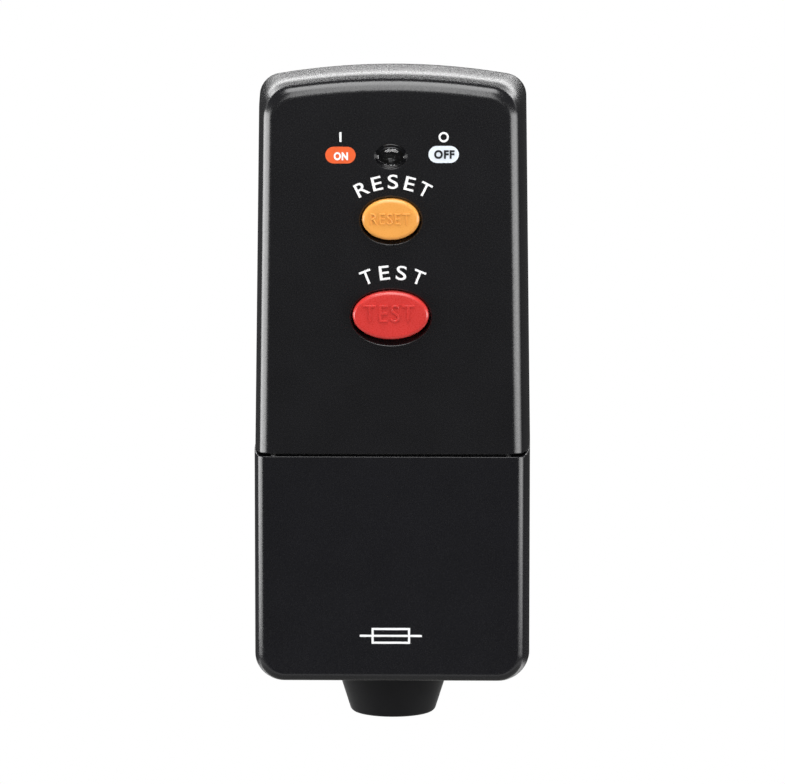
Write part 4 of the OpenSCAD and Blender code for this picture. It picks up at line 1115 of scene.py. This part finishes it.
class PLUG_OT_pins(bpy.types.Operator):
    """Make the three pins and the two sleeves"""

    bl_idname = "plug.pins"
    bl_label = "Pins"

    def execute(self, context):
        tip, plate_back, plate_front = 1.2, -5, -2.5
        for node, x, z, (w, h), start, end in (
                ("live_pin", PIN_PLACE, -PIN_PLACE, LINE_PIN, SLEEVE_END, LINE_PIN_END),
                ("neutral_pin", -PIN_PLACE, -PIN_PLACE, LINE_PIN, SLEEVE_END, LINE_PIN_END),
                ("earth_pin", 0, PIN_PLACE, EARTH_PIN, -2.4, EARTH_PIN_END)):
            bm = bmesh.new()
            levels = [(0.12, start), (0, start + 0.12), (0, end - tip - 0.25), (0.06, end - tip),
                      (0.4, end - 0.75), (tip - 0.25, end - 0.15), (tip, end), (tip + 0.15, end)]
            capped(bm, [ring(bm, rounded_box_loop(x, z, w - 2 * t, h - 2 * t, max(0.08, 0.55 - 0.35 * t), y))
                        for t, y in levels])
            # the plate behind the wall, the core in the sleeve and the neutral's tail
            if node == "earth_pin":
                block(bm, (-3.6, plate_back, z - 5), (3.6, plate_front, z + 5), 0.3)
            else:
                block(bm, (x - 2.6, -2.6, z - 1.4), (x + 2.6, start + 0.05, z + 1.4), 0.1)
                block(bm, (x - 4.2, plate_back, z - 3), (x + 4.2, plate_front, z + 3), 0.3)
            if node == "neutral_pin":
                block(bm, (x - 1.5, -12, z - 0.6), (x + 1.5, -4.9, z + 0.6), 0.1)
            settle(bm, node + "_blade", "body", FINISHES["brass"], (node,))
        bm = bmesh.new()
        w, h = LINE_PIN
        skin, back, front = 0.45, plate_front, SLEEVE_END
        levels = [(0.06, back), (0, back + 0.1), (0, front - 0.18), (0.05, front - 0.06), (0.15, front),
                  (skin, front), (skin, back)]
        for x in (-PIN_PLACE, PIN_PLACE):
            rows = [ring(bm, rounded_box_loop(x, -PIN_PLACE, w - 2 * t, h - 2 * t, 0.55 - 0.5 * t, y))
                    for t, y in levels]
            loft(bm, rows + rows[:1])
        settle(bm, "sleeve_pair", "body", FINISHES["sleeve_black"], ("pin_sleeves",))
        return {"FINISHED"}


# node, and the width of its broken edges
SOFT_NODES = (
    ("fuse_carrier", 0.25), ("fuse_body", 0.2), ("fuse_caps", 0.25), ("live_fuse_clip", 0.1),
    ("load_fuse_clip", 0.1), ("live_terminal", 0.3), ("neutral_terminal", 0.3), ("earth_terminal", 0.3),
    ("cord_grip_bar", 0.4), ("flag_pin", 0.1), ("film_capacitor", 0.4), ("surge_disc", 0.6),
    ("smoothing_capacitor", 0.4), ("armature_plate", 0.15), ("coil_bobbin", 0.1), ("test_contact", 0.1),
    ("control_chip", 0.06), ("mechanism_frame", 0.15), ("contact_carriage", 0.15), ("moving_contacts", 0.1),
    ("line_contacts", 0.1), ("load_contacts", 0.1), ("coil_core", 0.15), ("flag_lever", 0.12),
    ("flag_band", 0.06), ("test_post", 0.15), ("circuit_board", 0.1), ("test_resistor", 0.1),
)


class PLUG_OT_small_parts(bpy.types.Operator):
    """Break the edges of the fuse, the terminals and the parts on the board"""

    bl_idname = "plug.small_parts"
    bl_label = "Small parts"

    def execute(self, context):
        for node, width in SOFT_NODES:
            softened(node, width)
        return {"FINISHED"}


# Screws, springs and windings


def start_tree(name, sizes, counts=()):
    """A node tree that takes points, named sizes and a material; gives the tree and its inputs."""
    tree = bpy.data.node_groups.new(name, "GeometryNodeTree")
    sockets = [("Points", "Geometry")] + [(key, "Float") for key in sizes] + [(key, "Int") for key in counts]
    for key, kind in sockets + [("Finish", "Material")]:
        tree.interface.new_socket(name=key, in_out="INPUT", socket_type="NodeSocket" + kind)
    tree.interface.new_socket(name="Shape", in_out="OUTPUT", socket_type="NodeSocketGeometry")
    return tree, add_node(tree, "NodeGroupInput").outputs


def end_tree(tree, given, shape, turn):
    """Sets the shape on the points, turned, and closes the tree."""
    spread = add_node(tree, "GeometryNodeInstanceOnPoints",
                      {"Points": given["Points"], "Instance": shape, "Rotation": turn})
    real = add_node(tree, "GeometryNodeRealizeInstances", {"Geometry": spread})
    dressed = add_node(tree, "GeometryNodeSetMaterial", {"Geometry": real, "Material": given["Finish"]})
    add_node(tree, "NodeGroupOutput", {"Shape": dressed})
    return tree


def grown(tree, points, finish_used, **values):
    """The tree's shape on points in millimetres, as a plain mesh; spaces in an input's name are written _."""
    mesh = bpy.data.meshes.new("points")
    mesh.from_pydata([Vector(p) * MM for p in points], [], [])
    obj = linked("points", mesh)
    modifier = obj.modifiers.new("shape", "NODES")
    modifier.node_group = tree
    given = {key.replace("_", " ").capitalize(): value for key, value in values.items()}
    given["Finish"] = finish_used
    for item in tree.interface.items_tree:
        if item.in_out == "INPUT" and item.name in given:
            modifier[item.identifier] = given.pop(item.name)
    if given:
        raise RuntimeError("no such input: " + ", ".join(given))
    return made_plain(obj)


def screw_tree():
    """A cross-head screw: a slightly conical head at the point, a core behind it and a thread round that."""
    tree, given = start_tree("screw", (
        "Head radius", "Face radius", "Head height", "Slot length", "Slot width", "Slot depth", "Core radius",
        "Core length", "Core middle", "Thread radius", "Thread turns", "Thread length", "Ridge", "Way"))
    head = add_node(tree, "GeometryNodeMeshCone", {
        "Vertices": 32, "Radius Bottom": given["Face radius"], "Radius Top": given["Head radius"],
        "Depth": given["Head height"]})
    bars = []
    for x, y in (("Slot length", "Slot width"), ("Slot width", "Slot length")):
        size = add_node(tree, "ShaderNodeCombineXYZ",
                        {"X": given[x], "Y": given[y], "Z": given["Slot depth"]})
        bars.append(add_node(tree, "GeometryNodeMeshCube", {"Size": size}))
    cross = add_node(tree, "GeometryNodeMeshBoolean", {0: head, 1: bars},
                     operation="DIFFERENCE", solver="EXACT")
    core = add_node(tree, "GeometryNodeMeshCylinder", {
        "Vertices": 20, "Radius": given["Core radius"], "Depth": given["Core length"]})
    middle = add_node(tree, "ShaderNodeCombineXYZ", {"Z": given["Core middle"]})
    shank = add_node(tree, "GeometryNodeTransform", {"Geometry": core, "Translation": middle})
    spiral = add_node(tree, "GeometryNodeCurveSpiral", {
        "Resolution": 18, "Rotations": given["Thread turns"], "Start Radius": given["Thread radius"],
        "End Radius": given["Thread radius"], "Height": given["Thread length"]})
    ridge = add_node(tree, "GeometryNodeCurvePrimitiveCircle", {"Resolution": 4, "Radius": given["Ridge"]})
    thread = add_node(tree, "GeometryNodeCurveToMesh",
                      {"Curve": spiral, "Profile Curve": ridge, "Fill Caps": True})
    start = add_node(tree, "ShaderNodeCombineXYZ", {"Z": given["Head height"]})
    wound = add_node(tree, "GeometryNodeTransform", {"Geometry": thread, "Translation": start})
    whole = add_node(tree, "GeometryNodeJoinGeometry", {"Geometry": [cross, shank, wound]})
    tilt = add_node(tree, "ShaderNodeMath", {0: given["Way"], 1: -math.pi / 2}, operation="MULTIPLY")
    index = add_node(tree, "GeometryNodeInputIndex")
    # each screw is left at its own angle
    spin = add_node(tree, "ShaderNodeMath", {0: index, 1: 0.83}, operation="MULTIPLY")
    angles = add_node(tree, "ShaderNodeCombineXYZ", {"X": tilt, "Y": spin})
    turn = add_node(tree, "FunctionNodeEulerToRotation", {"Euler": angles})
    return end_tree(tree, given, whole, turn)


def coil_tree():
    """A coil of round wire from the point along Y; Closing pulls its end turns together."""
    tree, given = start_tree("coil", ("Radius", "Wire", "Turns", "Length", "Closing"))
    spiral = add_node(tree, "GeometryNodeCurveSpiral", {
        "Resolution": 28, "Rotations": given["Turns"], "Start Radius": given["Radius"],
        "End Radius": given["Radius"], "Height": given["Length"]})
    along = add_node(tree, "GeometryNodeSplineParameter")
    eased = add_node(tree, "ShaderNodeMapRange", {"Value": along}, interpolation_type="SMOOTHSTEP")
    shift = add_node(tree, "ShaderNodeMath", {0: eased, 1: along}, operation="SUBTRACT")
    scaled = add_node(tree, "ShaderNodeMath", {0: shift, 1: given["Closing"]}, operation="MULTIPLY")
    offset = add_node(tree, "ShaderNodeCombineXYZ", {"Z": scaled})
    path = add_node(tree, "GeometryNodeSetPosition", {"Geometry": spiral, "Offset": offset})
    section = add_node(tree, "GeometryNodeCurvePrimitiveCircle", {"Resolution": 10, "Radius": given["Wire"]})
    wire = add_node(tree, "GeometryNodeCurveToMesh",
                    {"Curve": path, "Profile Curve": section, "Fill Caps": True})
    turn = add_node(tree, "FunctionNodeEulerToRotation", {"Euler": (-math.pi / 2, 0, 0)})
    return end_tree(tree, given, wire, turn)


def ring_tree():
    """Turns of wire round a ring core that stands on the point, its axis along Z."""
    sizes = ("Middle radius", "Loop width", "Loop height", "Corner", "Wire")
    tree, given = start_tree("ring winding", sizes, ("Turns",))
    loop = add_node(tree, "GeometryNodeCurvePrimitiveQuadrilateral",
                    {"Width": given["Loop width"], "Height": given["Loop height"]})
    rounded = add_node(tree, "GeometryNodeFilletCurve",
                       {"Curve": loop, "Count": 3, "Radius": given["Corner"]}, mode="POLY")
    section = add_node(tree, "GeometryNodeCurvePrimitiveCircle", {"Resolution": 8, "Radius": given["Wire"]})
    wire = add_node(tree, "GeometryNodeCurveToMesh", {"Curve": rounded, "Profile Curve": section})
    places = add_node(tree, "GeometryNodeMeshCircle",
                      {"Vertices": given["Turns"], "Radius": given["Middle radius"]})
    index = add_node(tree, "GeometryNodeInputIndex")
    step = add_node(tree, "ShaderNodeMath", {0: 2 * math.pi, 1: given["Turns"]}, operation="DIVIDE")
    angle = add_node(tree, "ShaderNodeMath", {0: index, 1: step}, operation="MULTIPLY")
    angles = add_node(tree, "ShaderNodeCombineXYZ", {"X": math.pi / 2, "Z": angle})
    turn = add_node(tree, "FunctionNodeEulerToRotation", {"Euler": angles})
    wound = add_node(tree, "GeometryNodeInstanceOnPoints",
                     {"Points": places, "Instance": wire, "Rotation": turn})
    level = add_node(tree, "FunctionNodeEulerToRotation", {"Euler": (0, 0, 0)})
    return end_tree(tree, given, wound, level)


class PLUG_OT_screws(bpy.types.Operator):
    """Turn the screws of the case, the cover, the terminals, the cord grip and the board"""

    bl_idname = "plug.screws"
    bl_label = "Screws"

    def execute(self, context):
        pitch = context.scene.plug_fittings.thread_pitch / MM
        tree = screw_tree()
        for node, (head, height, shank, way, _) in SCREWS.items():
            low, high = box_mm(node)
            reach, core = high.y - low.y, shank * 0.86
            start, thread = 0.7 * height, reach - height - 0.35
            sizes = {
                "head_radius": head, "face_radius": head * 0.93, "head_height": height,
                "slot_length": head * 1.24, "slot_width": head * 0.3, "slot_depth": height * 1.1,
                "core_radius": core, "core_length": reach - start, "core_middle": (reach + start) / 2,
                "thread_radius": core, "thread_length": thread, "ridge": shank * 0.14}
            mesh = grown(tree, screw_points(node), FINISHES[SLOTS[node]], way=float(way),
                         thread_turns=thread / pitch, **{key: value * MM for key, value in sizes.items()})
            stand_in(node, "_turned", mesh, None, 30)
        return {"FINISHED"}


class PLUG_OT_springs(bpy.types.Operator):
    """Wind the contact springs and the springs behind the two buttons"""

    bl_idname = "plug.springs"
    bl_label = "Springs"

    def execute(self, context):
        wire = context.scene.plug_fittings.spring_wire / MM
        tree = coil_tree()
        # the last value is the joint that squashes the spring, its standing end and the share that stays
        for node, xs, radius, turns, squash in (
                ("contact_springs", (-9, 9), 2.15, 5.0, ("contact_slide", -15.12, 0.7225)),
                ("reset_spring", (0,), 2.6, 3.0, None),
                ("test_spring", (0,), 2.6, 4.0, ("test_press", -25.02, 0.804))):
            low, high = box_mm(node)
            z, reach = (low.z + high.z) / 2, high.y - low.y - 2 * wire
            points = [(x, low.y + wire, z) for x in xs]
            mesh = grown(tree, points, FINISHES[SLOTS[node]], radius=radius * MM, wire=wire * MM, turns=turns,
                         length=reach * MM, closing=reach * 0.55 * MM)
            piece = stand_in(node, "_wound", mesh, None, 60)
            if squash:
                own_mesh(piece)
        return {"FINISHED"}


class PLUG_OT_windings(bpy.types.Operator):
    """Wind the hold-in coil and the sensing ring"""

    bl_idname = "plug.windings"
    bl_label = "Windings"

    def execute(self, context):
        fittings = context.scene.plug_fittings
        low, high = box_mm("coil_winding")
        wire, z = fittings.coil_wire / MM, (low.z + high.z) / 2
        radius, reach = high.x - wire, high.y - low.y - 2 * wire
        copper = FINISHES[SLOTS["coil_winding"]]
        outer = grown(coil_tree(), [(0, low.y + wire, z)], copper, radius=radius * MM, wire=wire * MM,
                      turns=reach / (2 * wire), length=reach * MM, closing=0.0)
        bm = bmesh.new()
        bore = 2.25
        turned(bm, [(bore, low.y), (radius, low.y), (radius, high.y), (bore, high.y)], 0, z)
        coil = joined(to_mesh(bm), outer)
        place("hold_coil", coil, "body", copper, ("coil_winding",), 60)
        low, high = box_mm("sensing_ring")
        wire, y, z = fittings.ring_wire / MM, (low.y + high.y) / 2, (low.z + high.z) / 2
        rim, bore, half = high.x, 4.0, (high.z - low.z) / 2
        copper = FINISHES[SLOTS["sensing_ring"]]
        loops = grown(ring_tree(), [(0, y, z)], copper, middle_radius=(rim + bore) / 2 * MM,
                      loop_width=(rim - bore - 2 * wire) * MM, loop_height=(2 * half - 2 * wire) * MM,
                      corner=0.6 * MM, wire=wire * MM, turns=fittings.ring_turns)
        bm = bmesh.new()
        inner, outer_r, tall = bore + wire, rim - wire, half - wire
        section = [(inner, z - tall), (outer_r, z - tall), (outer_r, z + tall), (inner, z + tall)]
        turned(bm, section, 0, y, "Z")
        coil = joined(to_mesh(bm), loops)
        place("ring_coil", coil, "body", copper, ("sensing_ring",), 60)
        return {"FINISHED"}


class PLUG_OT_leads(bpy.types.Operator):
    """Smooth the leads inside the case"""

    bl_idname = "plug.leads"
    bl_label = "Leads"

    def execute(self, context):
        for node in ("live_lead", "neutral_lead", "earth_lead"):
            stand_in(node, "_smooth", packed_copy(node), FINISHES[SLOTS[node]], 50)
        return {"FINISHED"}


# Stage


class PLUG_OT_stage(bpy.types.Operator):
    """Set the floor, the lamps, the background and the camera"""

    bl_idname = "plug.stage"
    bl_label = "Stage"

    def execute(self, context):
        scene = context.scene
        scene.view_settings.view_transform = "Standard"
        self.floor()
        self.background(scene)
        self.lamps()
        # fitted to the photo's outline: a long lens one metre away, a little above the front
        target, distance = Vector((0, -0.020, -0.02858)), 1.0
        azimuth, elevation = math.radians(1.1), math.radians(7.5)
        focal_px, picture_px, sensor = 5301, 785, 36
        towards = Vector((math.sin(azimuth) * math.cos(elevation), -math.cos(azimuth) * math.cos(elevation),
                          math.sin(elevation)))
        data = bpy.data.cameras.new("camera")
        data.sensor_fit = "HORIZONTAL"
        data.sensor_width = sensor
        data.lens = focal_px / picture_px * sensor
        data.clip_start = 0.01
        camera = linked("camera", data)
        camera.location = target + towards * distance
        camera.rotation_euler = (-towards).to_track_quat("-Z", "Y").to_euler()
        scene.camera = camera
        return {"FINISHED"}

    def seen(self, tree):
        """1 on the camera's rays, and 1 on all that show the background: also by gloss and through glass."""
        path = add_node(tree, "ShaderNodeLightPath")
        by_camera = seen = path.outputs["Is Camera Ray"]
        for kind in ("Is Glossy Ray", "Is Transmission Ray"):
            seen = add_node(tree, "ShaderNodeMath", {0: seen, 1: path.outputs[kind]}, operation="MAXIMUM")
        return by_camera, seen

    def floor(self):
        """A pale disc below the object that fades to white at its edge; to the object's light and reflections
        it is a darker grey, a painted shade.
        """
        middle = Vector((0, 0.02, -0.16))
        bm = bmesh.new()
        bmesh.ops.create_circle(bm, cap_ends=True, segments=96, radius=0.24)
        mesh = written(bm, "floor")
        mesh.transform(Matrix.Translation(middle))
        floor = linked("floor", mesh)
        # matt paper: pale grey to the camera, where it shows the object's shadow; the bounce light and the
        # reflections see a darker grey, a painted shade that keeps the object's underside and its reflections
        # of the floor dark
        material = bpy.data.materials.new("Pale paper floor")
        tree = bare_tree(material)
        where = add_node(tree, "ShaderNodeTexCoord")
        spot = add_node(tree, "ShaderNodeMapping", {"Vector": where.outputs["Object"], "Location": -middle})
        far = add_node(tree, "ShaderNodeVectorMath", {0: spot}, operation="LENGTH")
        fade = add_node(tree, "ShaderNodeMapRange",
                        {"Value": far.outputs["Value"], "From Min": 0.13, "From Max": 0.21},
                        interpolation_type="SMOOTHSTEP")
        by_camera, seen = self.seen(tree)
        amount = add_node(tree, "ShaderNodeMath", {0: fade, 1: seen}, operation="MULTIPLY")
        # painted shade: the camera sees #c2c2c0, every other ray the darker #8c8c8a
        shade = add_node(tree, "ShaderNodeMix",
                         {"Factor": by_camera, 6: linear("#8c8c8a"), 7: linear("#c2c2c0")}, data_type="RGBA")
        paper = add_node(tree, "ShaderNodeBsdfDiffuse", {"Color": shade.outputs[2]})
        white = add_node(tree, "ShaderNodeEmission", {"Color": (1, 1, 1), "Strength": 1.0})
        mixed = add_node(tree, "ShaderNodeMixShader", {0: amount, 1: paper, 2: white})
        add_node(tree, "ShaderNodeOutputMaterial", {"Surface": mixed})
        mesh.materials.append(material)

    def background(self, scene):
        """White to the camera; by gloss, a white belt behind the object and dim all round."""
        world = bpy.data.worlds.new("studio")
        tree = bare_tree(world)
        where = add_node(tree, "ShaderNodeTexCoord")
        parts = add_node(tree, "ShaderNodeSeparateXYZ", {"Vector": where.outputs["Generated"]})
        belt = 1.0
        # behind the object, above the belt's lower edge and below its upper one
        edges = (("Y", 0.0, 0.5, 0, 1), ("Z", 0.18, 0.27, 0, 1), ("Z", 0.28, 0.36, 1, 0))
        for axis, low, high, first, last in edges:
            edge = add_node(tree, "ShaderNodeMapRange",
                            {"Value": parts.outputs[axis], "From Min": low, "From Max": high, "To Min": first,
                             "To Max": last}, interpolation_type="SMOOTHSTEP")
            belt = add_node(tree, "ShaderNodeMath", {0: belt, 1: edge}, operation="MULTIPLY")
        by_camera, seen = self.seen(tree)
        show = add_node(tree, "ShaderNodeMath", {0: belt, 1: seen}, operation="MULTIPLY")
        full = add_node(tree, "ShaderNodeMath", {0: show, 1: by_camera}, operation="MAXIMUM")
        level = add_node(tree, "ShaderNodeMapRange", {"Value": full, "To Min": 0.045, "To Max": 1.0})
        sky = add_node(tree, "ShaderNodeBackground", {"Color": (1, 1, 1), "Strength": level})
        add_node(tree, "ShaderNodeOutputWorld", {"Surface": sky})
        scene.world = world

    def lamps(self):
        """A broad softbox above, a narrow one in front, a long one at each side and a low one behind.

        soft is the share of a softbox's length over which each of its ends fades.
        """
        for name, spot, aim, size, radiance, soft in (
                ("left_softbox", (-0.75, -0.13, -0.03), (0, -0.13, -0.03), (1.45, 0.34), 9.0, 0.3),
                ("right_softbox", (0.75, -0.47, -0.03), (0, -0.47, -0.03), (1.66, 0.34), 7.2, 0.36),
                ("top_softbox", (0, -0.17, 0.85), (0, -0.17, 0), (0.7, 0.64), 7.0, 0),
                ("front_softbox", (0, -0.72, 0.544), (0, 0, 0.004), (0.34, 0.766), 5.6, 0),
                ("back_softbox", (0, 0.95, 0.325), (0, 0, 0.03), (1.0, 0.13), 3.9, 0)):
            data = bpy.data.lights.new(name, "AREA")
            data.shape = "RECTANGLE"
            data.size, data.size_y = size
            data.energy = radiance * math.pi * size[0] * size[1]
            if soft:
                tree = bare_tree(data)
                where = add_node(tree, "ShaderNodeNewGeometry")
                along = add_node(tree, "ShaderNodeSeparateXYZ", {0: where.outputs["Parametric"]})
                near = add_node(tree, "ShaderNodeMath", {0: 1.0, 1: along}, operation="SUBTRACT")
                edge = add_node(tree, "ShaderNodeMath", {0: along, 1: near}, operation="MINIMUM")
                fade = add_node(tree, "ShaderNodeMapRange", {"Value": edge, "From Max": soft},
                                interpolation_type="SMOOTHSTEP")
                glow = add_node(tree, "ShaderNodeEmission", {"Strength": fade})
                add_node(tree, "ShaderNodeOutputLight", {"Surface": glow})
            lamp = linked(name, data)
            lamp.location = spot
            lamp.rotation_euler = (Vector(aim) - Vector(spot)).to_track_quat("-Z", "Y").to_euler()
            lamp.visible_camera = False


class PLUG_PT_panel(bpy.types.Panel):
    """Sizes, colours and pieces of the plug"""

    bl_label = "Residual current plug"
    bl_idname = "PLUG_PT_panel"
    bl_space_type = "VIEW_3D"
    bl_region_type = "UI"
    bl_category = "Plug"

    def draw(self, context):
        for group in (context.scene.plug_sizes, context.scene.plug_fittings, context.scene.plug_colours):
            box = self.layout.box()
            for key in group.__annotations__:
                box.prop(group, key)
        for operator in OPERATORS:
            self.layout.operator(operator.bl_idname)


OPERATORS = (
    PLUG_OT_finishes, PLUG_OT_front_case, PLUG_OT_terminal_cover, PLUG_OT_rear_case, PLUG_OT_flex_guard,
    PLUG_OT_window, PLUG_OT_buttons, PLUG_OT_signs, PLUG_OT_pins, PLUG_OT_small_parts, PLUG_OT_screws,
    PLUG_OT_springs, PLUG_OT_windings, PLUG_OT_leads, PLUG_OT_stage,
)
CLASSES = (PlugSizes, PlugFittings, PlugColours) + OPERATORS + (PLUG_PT_panel,)


def register():
    """Registers the classes and gives the scene their settings."""
    for cls in CLASSES:
        bpy.utils.register_class(cls)
    bpy.types.Scene.plug_sizes = bpy.props.PointerProperty(type=PlugSizes)
    bpy.types.Scene.plug_fittings = bpy.props.PointerProperty(type=PlugFittings)
    bpy.types.Scene.plug_colours = bpy.props.PointerProperty(type=PlugColours)


def unregister():
    """Takes the settings and the classes away again."""
    del bpy.types.Scene.plug_colours
    del bpy.types.Scene.plug_fittings
    del bpy.types.Scene.plug_sizes
    for cls in reversed(CLASSES):
        bpy.utils.unregister_class(cls)


def main():
    """Makes every piece and the stage."""
    register()
    for operator in OPERATORS:
        group, name = operator.bl_idname.split(".")
        getattr(getattr(bpy.ops, group), name)()


if __name__ == "__main__":
    main()
